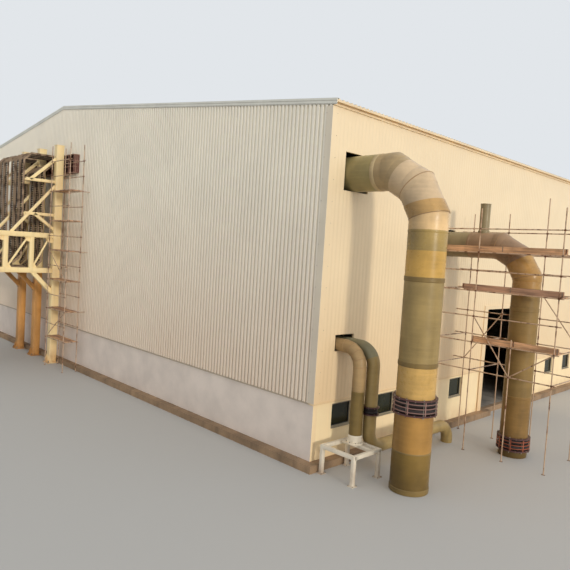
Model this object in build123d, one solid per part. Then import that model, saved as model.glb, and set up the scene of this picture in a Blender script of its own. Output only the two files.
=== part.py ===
"""Desalination plant hall with its intake pipes, cable rack and scaffolds, at half the real size.

Millimetres, +Z up. The origin is on the ground under the centre of the hall. The gable that
carries the rack looks along -Y and the long wall that the pipes leave looks along +X.
"""
import os
from math import atan, cos, degrees, hypot, pi, radians, sin

from build123d import *

os.makedirs("parts", exist_ok=True)

# Hall
HALL_WIDTH = 24650
BAY_LENGTH = 3050
BAYS = 6
EAVE_HEIGHT = 7170
RIDGE_HEIGHT = 8690
FLOOR_LEVEL = 150
LEDGE_WIDTH = 200
PLINTH_TOP = 1295
PLINTH_THICKNESS = 125
PLINTH_RECESS = 15
CLADDING_THICKNESS = 50
ROOF_THICKNESS = 60
EAVE_OVERHANG = 100
RIDGE_CAP_WIDTH = 420
SHEET_METAL = 6
VERGE_DEPTH = 115
VERGE_CAP_WIDTH = 70
EAVE_TRIM_DEPTH = 60
EAVE_TRIM_WIDTH = 30
CORNER_TRIM_WIDTH = 160
DRIP_DEPTH = 28
DRIP_REACH = 26

# Doorway and windows, measured along the long wall from the front corner
DOOR_START = 6875
DOOR_WIDTH = 2250
DOOR_TOP = 3000
JAMB_WIDTH = 175
JAMB_THICKNESS = 20
LEDGE_RETURN = 325
WINDOW_WIDTH = 625
WINDOW_HEIGHT = 500
WINDOW_SILL = 725
WINDOW_FRAME = 30
WINDOW_FRAME_DEPTH = 60
GLASS_THICKNESS = 8
FIRST_WINDOW = 887.5
WINDOWS_PER_BAY = 2

# Steel frame
COLUMN_BASE_DEPTH = 200
COLUMN_KNEE_DEPTH = 500
RAFTER_APEX_DEPTH = 300
FRAME_FLANGE_WIDTH = 150
FRAME_PLATE = 12
FRAME_WEB = 8
PURLIN_DEPTH = 100
PURLIN_FLANGE = 40
PURLIN_PLATE = 4
PURLINS_PER_SLOPE = 9
FIRST_GIRT = 2050
GIRT_SPACING = 1325
GIRT_ROWS = 4
GABLE_GIRT_ROWS = 5
GABLE_POSTS = 5
GABLE_POST_DEPTH = 150
GABLE_POST_WIDTH = 100

# Large pipe
LARGE_RADIUS = 355
LARGE_STANDOFF = 1725
LARGE_ALONG = 845
LARGE_SILL = 5500
LARGE_COUPLING_BOTTOM = 1450
LARGE_BEND_LEG = 600
BEND_FOOT = 116
LARGE_OPENING_WIDTH = 760
LARGE_OPENING_HEIGHT = 750

# Second pipe
SECOND_RADIUS = 300
SECOND_STANDOFF = 2025
SECOND_ALONG = 4500
SECOND_SILL = 4360
SECOND_COUPLING_BOTTOM = 150
SECOND_BEND_LEG = 490
SECOND_OPENING_WIDTH = 660
SECOND_OPENING_HEIGHT = 650
VENT_RADIUS = 115
VENT_STANDOFF = 920
VENT_TOP = 5625

# Both large pipes
PIPE_WALL = 12
BAND_THICKNESS = 8
BAND_LENGTH = 90
PIPE_SIDES = 20
SMALL_PIPE_SIDES = 12
INSIDE_REACH = 400
COUPLING_LENGTH = 300
COUPLING_FLANGE = 55
COUPLING_FLANGE_THICKNESS = 25
TIE_RODS = 6
TIE_ROD_RADIUS = 11
FLANGE_BOLT_CIRCLE = 0.72
SEAT_CLEARANCE = 0.3

# Small pipes
SMALL_RADIUS = 130
SMALL_WALL = 8
SMALL_BEND_RADIUS = 360
SMALL_BEND_JOINTS = 3
SMALL_SILL = 2300
SMALL_OPENING_START = 520
SMALL_OPENING_WIDTH = 580
SMALL_OPENING_HEIGHT = 330
FRONT_SMALL_ALONG = 665
FRONT_SMALL_STANDOFF = 550
REAR_SMALL_ALONG = 955
REAR_SMALL_STANDOFF = 660
REAR_SMALL_RUN_HEIGHT = 430
REAR_SMALL_RUN_END = 4000
SMALL_FLANGE_RADIUS = 175
SMALL_FLANGE_THICKNESS = 18
SMALL_COUPLING_HEIGHT = 1150
SMALL_COUPLING_LENGTH = 120

# Support frame under the front small pipe
SUPPORT_TOP = 570
SUPPORT_START = 60
SUPPORT_LENGTH = 760
SUPPORT_NEAR = 260
SUPPORT_FAR = 1030
SUPPORT_STEEL = 75
SUPPORT_PLATE = 12

# Cable rack; reaches are measured outward from the gable
RACK_FIRST_X = 545
RACK_SPACING = 1475
RACK_COLUMNS = 3
RACK_COLUMN_REACH = 320
RACK_COLUMN_SIZE = 250
RACK_COLUMN_HEIGHT = 7260
RACK_BASE_SIZE = 400
RACK_BASE_THICKNESS = 30
RACK_GUSSET_HEIGHT = 260
FIRST_PANEL = 670
TRUSS_PANEL = 800
TRUSS_PANELS = 4
TRUSS_BOTTOM = 3105
TRUSS_TOP = 4260
CHORD_SIZE = 165
TRUSS_POST_SIZE = 140
DIAGONAL_SIZE = 55
KNEE_BRACE_SIZE = 135
BRACE_DROP = 700
STAY_SIZE = 85
STAY_INSET = 100
STAY_DROP = 1340
LOW_ARM_HEIGHT = 4945
HIGH_ARM_DROP = 1220
ARM_REACH = 1335
ARM_SIZE = 95
LOW_BRACE_INSET = 270
HIGH_BRACE_INSET = 110
LOW_BRACE_DROP = 520
HIGH_BRACE_RISE = 830
INNER_BEAM_REACH = 650
CROSS_BEAM_SIZE = 80

# Cable ladders and cable entry
LADDERS_PER_GAP = 3
LADDER_WIDTH = 290
LADDER_RAIL_DEPTH = 60
LADDER_RAIL_THICKNESS = 14
LADDER_RUNG = 24
LADDER_RUNG_SPACING = 2000
LADDER_CORNER = 220
INNER_LADDER_DROP = 680
OUTER_LADDER_DROP = 365
ENTRY_DROP = 910
ENTRY_HEIGHT = 600
ENTRY_DEPTH = 190
ENTRY_START_X = -2800
ENTRY_END_X = 1400
ENTRY_PLATE = 20
ENTRY_CELLS = 10
ENTRY_ROWS = 3

# Scaffolds
TUBE = 26
TUBE_OVERHANG = 100
PLANK_WIDTH = 112
PLANK_THICKNESS = 20
PLANK_GAP = 6
TOE_BOARD_HEIGHT = 110
RACK_SCAFFOLD_START_X = 860
RACK_SCAFFOLD_BAY = 1380
RACK_SCAFFOLD_BAYS = 1
RACK_SCAFFOLD_NEAR = 230
RACK_SCAFFOLD_DEPTH = 430
RACK_SCAFFOLD_LIFTS = 7
RACK_LIFT_HEIGHT = 950
RACK_SCAFFOLD_DROP = 110
TIE_EVERY = 2
ACCESS_START = 300
ACCESS_BAY = 900
ACCESS_BAYS = 3
ACCESS_ALONG = 3800
ACCESS_DEPTH = 1400
ACCESS_DECKS = (2470, 3620, 4480)
ACCESS_DECK_STARTS = (1175, 850, 352)
ACCESS_RAILS = (1840, 3050, 4070, 5000)
ACCESS_TOP = 5450
ACCESS_TALL_TOP = 5800
ACCESS_SHORT_TOP = 2650

FRAME_INSET = CLADDING_THICKNESS + PURLIN_DEPTH + FRAME_FLANGE_WIDTH / 2
HALL_LENGTH = BAYS * BAY_LENGTH + 2 * FRAME_INSET
WALL_X = HALL_WIDTH / 2
WALL_Y = HALL_LENGTH / 2
PLINTH_X = WALL_X - PLINTH_RECESS
PLINTH_Y = WALL_Y - PLINTH_RECESS
PLINTH_INNER_X = PLINTH_X - PLINTH_THICKNESS
PLINTH_INNER_Y = PLINTH_Y - PLINTH_THICKNESS
CLADDING_INNER_X = WALL_X - CLADDING_THICKNESS
CLADDING_INNER_Y = WALL_Y - CLADDING_THICKNESS
COLUMN_FACE_X = CLADDING_INNER_X - PURLIN_DEPTH
POST_FACE_Y = CLADDING_INNER_Y - PURLIN_DEPTH
ROOF_SLOPE = (RIDGE_HEIGHT - EAVE_HEIGHT) / WALL_X
ROOF_ANGLE = degrees(atan(ROOF_SLOPE))
DOOR_END = DOOR_START + DOOR_WIDTH
FRAME_YS = [FRAME_INSET + i * BAY_LENGTH - WALL_Y for i in range(BAYS + 1)]
LARGE_HEADER_Z = LARGE_SILL + LARGE_RADIUS + SEAT_CLEARANCE
SECOND_HEADER_Z = SECOND_SILL + SECOND_RADIUS + SEAT_CLEARANCE
SMALL_HEADER_Z = SMALL_SILL + SMALL_RADIUS + SEAT_CLEARANCE
BEND_RUN = cos(radians(30)) + cos(radians(60))
LARGE_RISER_TOP = LARGE_HEADER_Z - LARGE_BEND_LEG * BEND_RUN - BEND_FOOT
SECOND_RISER_TOP = SECOND_HEADER_Z - SECOND_BEND_LEG * BEND_RUN - BEND_FOOT
STAY_HEIGHT = RACK_COLUMN_HEIGHT - STAY_DROP
HIGH_ARM_HEIGHT = RACK_COLUMN_HEIGHT - HIGH_ARM_DROP
INNER_LADDER_HEIGHT = RACK_COLUMN_HEIGHT - INNER_LADDER_DROP
OUTER_LADDER_HEIGHT = RACK_COLUMN_HEIGHT - OUTER_LADDER_DROP
ENTRY_BOTTOM = RACK_COLUMN_HEIGHT - ENTRY_DROP
RACK_SCAFFOLD_TOP = RACK_COLUMN_HEIGHT - RACK_SCAFFOLD_DROP
TRUSS_START = RACK_COLUMN_REACH + RACK_COLUMN_SIZE / 2
TRUSS_POSTS = [TRUSS_START + FIRST_PANEL + i * TRUSS_PANEL for i in range(TRUSS_PANELS)]
TRUSS_END = TRUSS_POSTS[-1]
RACK_XS = [RACK_FIRST_X - i * RACK_SPACING for i in range(RACK_COLUMNS)]


def save(name, *solids):
    """Write one node; its solids don't touch each other."""
    shape = solids[0] if len(solids) == 1 else Compound(list(solids))
    export_step(shape, f"parts/{name}.step")


def solids_of(shape):
    return list(shape.solids())


def block(x0, x1, y0, y1, z0, z1):
    centre = Pos((x0 + x1) / 2, (y0 + y1) / 2, (z0 + z1) / 2)
    return centre * Box(abs(x1 - x0), abs(y1 - y0), abs(z1 - z0))


def along(distance):
    """Y of a place measured along the long wall from the front corner."""
    return distance - WALL_Y


def outward(reach):
    """Y of a place measured outward from the gable."""
    return -WALL_Y - reach


def profile_y(points, y0, y1):
    """An outline in X and Z, drawn out along Y."""
    plane = Plane(origin=(0, y1, 0), x_dir=(1, 0, 0), z_dir=(0, -1, 0))
    return extrude(plane * make_face(Polyline(*points, close=True)), y1 - y0, dir=(0, -1, 0))


def profile_x(points, x0, x1):
    """An outline in Y and Z, drawn out along X."""
    plane = Plane(origin=(x0, 0, 0), x_dir=(0, 1, 0), z_dir=(1, 0, 0))
    return extrude(plane * make_face(Polyline(*points, close=True)), x1 - x0, dir=(1, 0, 0))


def bar(start, end, width, depth=None):
    """A straight bar of rectangular section; its width lies level."""
    start = Vector(*start)
    axis = Vector(*end) - start
    upright = hypot(axis.X, axis.Y) < 1e-6
    level = Vector(1, 0, 0) if upright else Vector(-axis.Y, axis.X, 0)
    plane = Plane(origin=start, x_dir=level, z_dir=axis)
    return extrude(plane * Rectangle(width, depth or width), axis.length)


def fused(pieces):
    """One solid from pieces that cross or meet."""
    return pieces[0].fuse(*pieces[1:]).clean()


def roof_top(x):
    return RIDGE_HEIGHT - ROOF_SLOPE * abs(x)


def roof_under(x):
    return roof_top(x) - ROOF_THICKNESS


def rafter_top(x):
    return roof_under(x) - PURLIN_DEPTH / cos(radians(ROOF_ANGLE))


# Ground works

def ground_beam():
    beam = block(-PLINTH_X - LEDGE_WIDTH, PLINTH_X + LEDGE_WIDTH, -PLINTH_Y - LEDGE_WIDTH,
                 PLINTH_Y + LEDGE_WIDTH, 0, FLOOR_LEVEL)
    beam -= block(-PLINTH_INNER_X, PLINTH_INNER_X, -PLINTH_INNER_Y, PLINTH_INNER_Y, 0, FLOOR_LEVEL)
    beam -= block(PLINTH_X, PLINTH_X + LEDGE_WIDTH, along(DOOR_START + LEDGE_RETURN),
                  along(DOOR_END - LEDGE_RETURN), 0, FLOOR_LEVEL)
    return beam


def floor_slab():
    return block(-PLINTH_INNER_X, PLINTH_INNER_X, -PLINTH_INNER_Y, PLINTH_INNER_Y, 0, FLOOR_LEVEL)


# Walls

def window_centres(side):
    """Window places along a long wall, left out at the doorway."""
    pitch = BAY_LENGTH / WINDOWS_PER_BAY
    places = [FIRST_WINDOW + i * pitch for i in range(WINDOWS_PER_BAY * BAYS)]
    if side < 0:
        return places
    half = WINDOW_WIDTH / 2 + JAMB_WIDTH
    return [p for p in places if p + half < DOOR_START or p - half > DOOR_END]


def window_hole(side, centre, clearance=0):
    half = WINDOW_WIDTH / 2 - clearance
    xs = sorted((side * (PLINTH_INNER_X - 1), side * (PLINTH_X + 1)))
    return block(*xs, along(centre - half), along(centre + half), WINDOW_SILL + clearance,
                 WINDOW_SILL + WINDOW_HEIGHT - clearance)


def long_plinth(side, start, end):
    xs = sorted((side * PLINTH_INNER_X, side * PLINTH_X))
    wall = block(*xs, start, end, FLOOR_LEVEL, PLINTH_TOP)
    for centre in window_centres(side):
        if start < along(centre) < end:
            wall -= window_hole(side, centre)
    return wall


def gable_plinth(side):
    ys = sorted((side * PLINTH_INNER_Y, side * PLINTH_Y))
    return block(-PLINTH_X, PLINTH_X, *ys, FLOOR_LEVEL, PLINTH_TOP)


def gable_cladding(side):
    outline = [(-WALL_X, PLINTH_TOP), (WALL_X, PLINTH_TOP), (WALL_X, roof_under(WALL_X)),
               (0, roof_under(0)), (-WALL_X, roof_under(WALL_X))]
    return profile_y(outline, *sorted((side * CLADDING_INNER_Y, side * WALL_Y)))


def pipe_openings():
    """The three holes where pipes leave the long wall."""
    x0, x1 = COLUMN_FACE_X - 10, WALL_X + 10
    large = block(x0, x1, along(LARGE_ALONG - LARGE_OPENING_WIDTH / 2),
                  along(LARGE_ALONG + LARGE_OPENING_WIDTH / 2), LARGE_SILL,
                  LARGE_SILL + LARGE_OPENING_HEIGHT)
    second = block(x0, x1, along(SECOND_ALONG - SECOND_OPENING_WIDTH / 2),
                   along(SECOND_ALONG + SECOND_OPENING_WIDTH / 2), SECOND_SILL,
                   SECOND_SILL + SECOND_OPENING_HEIGHT)
    small = block(x0, x1, along(SMALL_OPENING_START), along(SMALL_OPENING_START + SMALL_OPENING_WIDTH),
                  SMALL_SILL, SMALL_SILL + SMALL_OPENING_HEIGHT)
    return [large, second, small]


def long_cladding(side, start, end, bottom=PLINTH_TOP):
    outline = [(CLADDING_INNER_X, bottom), (WALL_X, bottom), (WALL_X, roof_under(WALL_X)),
               (CLADDING_INNER_X, roof_under(CLADDING_INNER_X))]
    wall = profile_y([(side * x, z) for x, z in outline], start, end)
    if side > 0 and end < along(DOOR_START) + 1:
        for hole in pipe_openings():
            wall -= hole
    return wall


# Roof and trims

def roof_slope(side):
    edge = WALL_X + EAVE_OVERHANG
    outline = [(0, roof_top(0)), (edge, roof_top(edge)), (edge, roof_under(edge)), (0, roof_under(0))]
    return profile_y([(side * x, z) for x, z in outline], -WALL_Y, WALL_Y)


def ridge_cap():
    half = RIDGE_CAP_WIDTH / 2
    outline = [(-half, roof_top(half)), (0, roof_top(0)), (half, roof_top(half)),
               (half, roof_top(half) + SHEET_METAL), (0, roof_top(0) + SHEET_METAL),
               (-half, roof_top(half) + SHEET_METAL)]
    return profile_y(outline, -WALL_Y + VERGE_CAP_WIDTH, WALL_Y - VERGE_CAP_WIDTH)


def verge_trim(side):
    """Folded flashing that covers the roof edge and the top of the gable."""
    edge = WALL_X + EAVE_OVERHANG
    face = [(-edge, roof_top(edge)), (0, roof_top(0)), (edge, roof_top(edge)),
            (edge, roof_top(edge) - VERGE_DEPTH), (0, roof_top(0) - VERGE_DEPTH),
            (-edge, roof_top(edge) - VERGE_DEPTH)]
    cap = [(-edge, roof_top(edge)), (0, roof_top(0)), (edge, roof_top(edge)),
           (edge, roof_top(edge) + SHEET_METAL), (0, roof_top(0) + SHEET_METAL),
           (-edge, roof_top(edge) + SHEET_METAL)]
    outer = WALL_Y + 2 * SHEET_METAL
    front = profile_y(face, *sorted((side * WALL_Y, side * outer)))
    top = profile_y(cap, *sorted((side * (WALL_Y - VERGE_CAP_WIDTH), side * outer)))
    return fused([front, top])


def eave_trim(side):
    outer = WALL_X + EAVE_TRIM_WIDTH
    outline = [(WALL_X, roof_under(WALL_X)), (outer, roof_under(outer)),
               (outer, roof_under(outer) - EAVE_TRIM_DEPTH), (WALL_X, roof_under(outer) - EAVE_TRIM_DEPTH)]
    return profile_y([(side * x, z) for x, z in outline], -WALL_Y + SHEET_METAL, WALL_Y - SHEET_METAL)


def corner_trim(side_x, side_y):
    """Folded corner flashing on the cladding, from the drip to under the eave."""
    x0, x1 = sorted((side_x * (WALL_X - CORNER_TRIM_WIDTH), side_x * (WALL_X + SHEET_METAL)))
    y0, y1 = sorted((side_y * (WALL_Y - CORNER_TRIM_WIDTH), side_y * (WALL_Y + SHEET_METAL)))
    top = roof_under(WALL_X + EAVE_TRIM_WIDTH) - EAVE_TRIM_DEPTH - SHEET_METAL
    trim = block(x0, x1, y0, y1, PLINTH_TOP, top)
    return trim - block(-WALL_X, WALL_X, -WALL_Y, WALL_Y, PLINTH_TOP, top)


def plinth_drips():
    """Folded drip strips under the foot of the cladding, one to each stretch of wall."""
    top, bottom = PLINTH_TOP, PLINTH_TOP - DRIP_DEPTH
    drips = []
    for side in (-1, 1):
        ys = sorted((side * PLINTH_Y, side * (PLINTH_Y + DRIP_REACH)))
        drips.append(block(-PLINTH_X - DRIP_REACH, PLINTH_X + DRIP_REACH, *ys, bottom, top))
    end = PLINTH_Y - SHEET_METAL
    stretches = [(-1, -end, end), (1, -end, along(DOOR_START - JAMB_WIDTH)),
                 (1, along(DOOR_END + JAMB_WIDTH), end)]
    for side, start, stop in stretches:
        xs = sorted((side * PLINTH_X, side * (PLINTH_X + DRIP_REACH)))
        drips.append(block(*xs, start, stop, bottom, top))
    return drips


def doorway_trim():
    """Two jamb linings with face strips, and the head over them."""
    lining_x = PLINTH_INNER_X
    face_x = WALL_X + JAMB_THICKNESS
    pieces = []
    for edge, sign in ((DOOR_START, -1), (DOOR_END, 1)):
        ys = sorted((along(edge), along(edge - sign * JAMB_THICKNESS)))
        lining = block(lining_x, face_x, *ys, FLOOR_LEVEL, DOOR_TOP - JAMB_THICKNESS)
        ys = sorted((along(edge), along(edge + sign * JAMB_WIDTH)))
        strip = block(WALL_X, face_x, *ys, FLOOR_LEVEL, DOOR_TOP - JAMB_THICKNESS)
        pieces.append(fused([lining, strip]))
    start, end = along(DOOR_START), along(DOOR_END)
    head_bottom = DOOR_TOP - JAMB_THICKNESS + SEAT_CLEARANCE
    lining = block(CLADDING_INNER_X, face_x, start, end, head_bottom, DOOR_TOP)
    strip = block(WALL_X, face_x, start - JAMB_WIDTH, end + JAMB_WIDTH, head_bottom,
                  DOOR_TOP + JAMB_WIDTH / 2)
    pieces.append(fused([lining, strip]))
    return pieces


def window_pieces():
    """Frames with their panes, in the middle of the wall's thickness."""
    frames, panes = [], []
    for side in (-1, 1):
        middle = side * (PLINTH_X + PLINTH_INNER_X) / 2
        for centre in window_centres(side):
            ys = (along(centre - WINDOW_WIDTH / 2), along(centre + WINDOW_WIDTH / 2))
            zs = (WINDOW_SILL, WINDOW_SILL + WINDOW_HEIGHT)
            half = WINDOW_FRAME_DEPTH / 2
            frame = block(middle - half, middle + half, *ys, *zs)
            inner = (ys[0] + WINDOW_FRAME, ys[1] - WINDOW_FRAME, zs[0] + WINDOW_FRAME,
                     zs[1] - WINDOW_FRAME)
            frames.append(frame - block(middle - half, middle + half, *inner))
            panes.append(block(middle - GLASS_THICKNESS / 2, middle + GLASS_THICKNESS / 2, *inner))
    return frames, panes


# Steel frame

def i_section(points, y, width):
    """A plated I-section on an outline in X and Z, with end plates."""
    body = profile_y(points, y - width / 2, y + width / 2)
    pocket_face = offset(make_face(Polyline(*points, close=True)), amount=-FRAME_PLATE)
    for start in (y + width / 2, y - FRAME_WEB / 2):
        plane = Plane(origin=(0, start, 0), x_dir=(1, 0, 0), z_dir=(0, -1, 0))
        body -= extrude(plane * pocket_face, (width - FRAME_WEB) / 2, dir=(0, -1, 0))
    return body


def portal_column(side, y):
    inner_top = COLUMN_FACE_X - COLUMN_KNEE_DEPTH
    inner_base = COLUMN_FACE_X - COLUMN_BASE_DEPTH
    points = [(COLUMN_FACE_X, FLOOR_LEVEL), (COLUMN_FACE_X, rafter_top(COLUMN_FACE_X)),
              (inner_top, rafter_top(inner_top)), (inner_top, rafter_top(inner_top) - COLUMN_KNEE_DEPTH),
              (inner_base, FLOOR_LEVEL)]
    return i_section([(side * x, z) for x, z in points], y, FRAME_FLANGE_WIDTH)


def rafter_bottom(x):
    """Underside of the tapered rafter at a distance from the ridge."""
    knee = COLUMN_FACE_X - COLUMN_KNEE_DEPTH
    depth = RAFTER_APEX_DEPTH + (COLUMN_KNEE_DEPTH - RAFTER_APEX_DEPTH) * abs(x) / knee
    return rafter_top(x) - depth


def portal_rafter(side, y):
    knee = COLUMN_FACE_X - COLUMN_KNEE_DEPTH
    points = [(0, rafter_top(0)), (knee, rafter_top(knee)), (knee, rafter_bottom(knee)),
              (0, rafter_bottom(0))]
    return i_section([(side * x, z) for x, z in points], y, FRAME_FLANGE_WIDTH)


def gable_posts():
    """Posts under the end rafters that stiffen the gables."""
    posts = []
    for end in (-1, 1):
        y0 = end * POST_FACE_Y
        y1 = y0 - end * GABLE_POST_DEPTH
        for i in range(GABLE_POSTS):
            x = (i + 1) * HALL_WIDTH / (GABLE_POSTS + 1) - WALL_X
            top = min(rafter_bottom(x - GABLE_POST_WIDTH / 2), rafter_bottom(x + GABLE_POST_WIDTH / 2))
            posts.append(block(x - GABLE_POST_WIDTH / 2, x + GABLE_POST_WIDTH / 2,
                               *sorted((y0, y1)), FLOOR_LEVEL, top))
    return posts


def channel_outline(depth, flange, plate):
    """Thin channel, open away from its web, with its web along the first axis."""
    return [(0, 0), (depth, 0), (depth, flange), (depth - plate, flange), (depth - plate, plate),
            (plate, plate), (plate, flange), (0, flange)]


def purlins(side):
    pieces = []
    reach = COLUMN_FACE_X / PURLINS_PER_SLOPE
    outline = channel_outline(PURLIN_DEPTH, PURLIN_FLANGE, PURLIN_PLATE)
    angle = radians(ROOF_ANGLE)
    for i in range(PURLINS_PER_SLOPE):
        x = (i + 0.4) * reach
        z = rafter_top(x)
        points = [(x + v * cos(angle) + u * sin(angle), z - v * sin(angle) + u * cos(angle))
                  for u, v in outline]
        pieces.append(profile_y([(side * px, pz) for px, pz in points], -CLADDING_INNER_Y,
                                CLADDING_INNER_Y))
    return pieces


def wall_girts(side):
    pieces = []
    outline = channel_outline(PURLIN_DEPTH, PURLIN_FLANGE, PURLIN_PLATE)
    for i in range(GIRT_ROWS):
        z = FIRST_GIRT + i * GIRT_SPACING
        points = [(side * (COLUMN_FACE_X + u), z + v) for u, v in outline]
        girt = profile_y(points, -CLADDING_INNER_Y, CLADDING_INNER_Y)
        if side > 0:
            for hole in pipe_openings():
                girt -= hole
            girt -= block(COLUMN_FACE_X - 10, WALL_X, along(DOOR_START), along(DOOR_END),
                          FLOOR_LEVEL, DOOR_TOP)
        pieces += solids_of(girt)
    return pieces


def gable_girts():
    """Girts between the gable cladding and its posts, shorter towards the ridge."""
    pieces = []
    outline = channel_outline(PURLIN_DEPTH, PURLIN_FLANGE, PURLIN_PLATE)
    for side in (-1, 1):
        for i in range(GABLE_GIRT_ROWS):
            z = FIRST_GIRT + i * GIRT_SPACING
            below_rafter = (rafter_top(0) - z - 2 * PURLIN_FLANGE) / ROOF_SLOPE
            half = min(COLUMN_FACE_X, below_rafter)
            points = [(side * (POST_FACE_Y + u), z + v) for u, v in outline]
            pieces.append(profile_x(points, -half, half))
    return pieces


# Pipes

def eased_route(corners, radius, joints):
    """The route with each square corner turned in short straight pieces round a bend radius."""
    points = [Vector(*corners[0])]
    for before, corner, after in zip(corners, corners[1:], corners[2:]):
        corner = Vector(*corner)
        inward = (corner - Vector(*before)).normalized()
        onward = (Vector(*after) - corner).normalized()
        centre = corner - inward * radius + onward * radius
        turn = pi / 2 / joints
        for i in range(joints):
            angle = (i + 0.5) * turn
            spoke = inward * sin(angle) - onward * cos(angle)
            points.append(centre + spoke * (radius / cos(turn / 2)))
    return points + [Vector(*corners[-1])]


def mitred_rod(points, radius, sides):
    """Many-sided bar through points, with a flat mitre joint at each corner."""
    axes = [(b - a).normalized() for a, b in zip(points, points[1:])]
    last = len(axes) - 1
    pieces = []
    for i, axis in enumerate(axes):
        start = points[i] - axis * (radius if i else 0)
        stop = points[i + 1] + axis * (radius if i < last else 0)
        level = (0, 1, 0) if abs(axis.Y) < 1e-6 else (1, 0, 0)
        section = Plane(origin=start, x_dir=level, z_dir=axis) * RegularPolygon(radius, sides)
        piece = extrude(section, (stop - start).length)
        if i:
            piece = split(piece, Plane(origin=points[i], z_dir=axes[i - 1] + axis), keep=Keep.TOP)
        if i < last:
            joint = Plane(origin=points[i + 1], z_dir=axis + axes[i + 1])
            piece = split(piece, joint, keep=Keep.BOTTOM)
        pieces.append(piece)
    return pieces[0].fuse(*pieces[1:])


def prism(x, y, z0, z1, radius, sides=PIPE_SIDES):
    return Pos(x, y, z0) * extrude(RegularPolygon(radius, sides), z1 - z0)


def ring(x, y, z0, z1, outer, inner, sides=PIPE_SIDES):
    return prism(x, y, z0, z1, outer, sides) - prism(x, y, z0, z1, inner, sides)


def mitred_bend(y, header_z, standoff, leg, riser_top, radius, vent=None):
    """Header, three mitre joints and the foot of the bend, with an optional vent on the header."""
    corner_x = WALL_X + standoff
    run = leg * BEND_RUN
    middle_x, middle_z = corner_x - leg * cos(radians(60)), header_z - leg * sin(radians(30))
    route = [(CLADDING_INNER_X - INSIDE_REACH, header_z), (corner_x - run, header_z),
             (middle_x, middle_z), (corner_x, header_z - run), (corner_x, riser_top)]
    points = [Vector(x, y, z) for x, z in route]
    outer = mitred_rod(points, radius, PIPE_SIDES)
    bore = mitred_rod(points, radius - PIPE_WALL, PIPE_SIDES)
    if vent:
        vent_x, vent_radius, vent_top = vent
        outer = outer.fuse(prism(vent_x, y, header_z, vent_top, vent_radius, SMALL_PIPE_SIDES))
        bore = bore.fuse(prism(vent_x, y, header_z, vent_top, vent_radius - SMALL_WALL,
                               SMALL_PIPE_SIDES))
    return outer.cut(bore)


def banded_riser(x, y, z0, z1, radius, band_levels):
    """Straight riser with raised laminated bands."""
    pipe = prism(x, y, z0, z1, radius)
    for level in band_levels:
        pipe += prism(x, y, level, level + BAND_LENGTH, radius + BAND_THICKNESS)
    return pipe - prism(x, y, z0, z1, radius - PIPE_WALL)


def coupling(x, y, bottom, radius):
    """Flexible coupling: two flanges, a double bellows and the tie rods round it."""
    top = bottom + COUPLING_LENGTH
    plate = COUPLING_FLANGE_THICKNESS
    arch = (COUPLING_LENGTH - 2 * plate) / 5
    pieces = [prism(x, y, bottom, top, radius),
              prism(x, y, bottom, bottom + plate, radius + COUPLING_FLANGE),
              prism(x, y, top - plate, top, radius + COUPLING_FLANGE)]
    for i in (1, 3):
        z = bottom + plate + i * arch
        pieces.append(prism(x, y, z, z + arch, radius + COUPLING_FLANGE / 2))
    rod_circle = radius + COUPLING_FLANGE * FLANGE_BOLT_CIRCLE
    for i in range(TIE_RODS):
        angle = 2 * pi * i / TIE_RODS
        place = Pos(x + rod_circle * cos(angle), y + rod_circle * sin(angle), bottom + plate)
        rod = extrude(RegularPolygon(TIE_ROD_RADIUS, 4), COUPLING_LENGTH - 2 * plate)
        pieces.append(place * rod)
    return fused(pieces) - prism(x, y, bottom, top, radius - PIPE_WALL)


def large_pipe():
    x, y = WALL_X + LARGE_STANDOFF, along(LARGE_ALONG)
    coupling_top = LARGE_COUPLING_BOTTOM + COUPLING_LENGTH
    save("large_pipe_bend", mitred_bend(y, LARGE_HEADER_Z, LARGE_STANDOFF, LARGE_BEND_LEG,
                                        LARGE_RISER_TOP, LARGE_RADIUS))
    levels = [coupling_top + 560, LARGE_RISER_TOP - 1080]
    save("large_pipe_riser", banded_riser(x, y, coupling_top, LARGE_RISER_TOP, LARGE_RADIUS, levels))
    save("large_pipe_coupling", coupling(x, y, LARGE_COUPLING_BOTTOM, LARGE_RADIUS))
    save("large_pipe_base_spool", banded_riser(x, y, 0, LARGE_COUPLING_BOTTOM, LARGE_RADIUS, [0]))


def second_pipe():
    x, y = WALL_X + SECOND_STANDOFF, along(SECOND_ALONG)
    coupling_top = SECOND_COUPLING_BOTTOM + COUPLING_LENGTH
    vent = (WALL_X + VENT_STANDOFF, VENT_RADIUS, VENT_TOP)
    save("second_pipe_bend", mitred_bend(y, SECOND_HEADER_Z, SECOND_STANDOFF, SECOND_BEND_LEG,
                                         SECOND_RISER_TOP, SECOND_RADIUS, vent))
    levels = [SECOND_RISER_TOP - 640]
    save("second_pipe_riser", banded_riser(x, y, coupling_top, SECOND_RISER_TOP, SECOND_RADIUS, levels))
    save("second_pipe_coupling", coupling(x, y, SECOND_COUPLING_BOTTOM, SECOND_RADIUS))
    save("second_pipe_base_spool", banded_riser(x, y, 0, SECOND_COUPLING_BOTTOM, SECOND_RADIUS, []))


def small_pipe(corners):
    """A small pipe along square corners, turned round the small bend radius."""
    route = eased_route(corners, SMALL_BEND_RADIUS, SMALL_BEND_JOINTS)
    outer = mitred_rod(route, SMALL_RADIUS, SMALL_PIPE_SIDES)
    return outer, mitred_rod(route, SMALL_RADIUS - SMALL_WALL, SMALL_PIPE_SIDES)


def small_flange(x, y, z):
    return prism(x, y, z, z + SMALL_FLANGE_THICKNESS, SMALL_FLANGE_RADIUS, SMALL_PIPE_SIDES)


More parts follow.
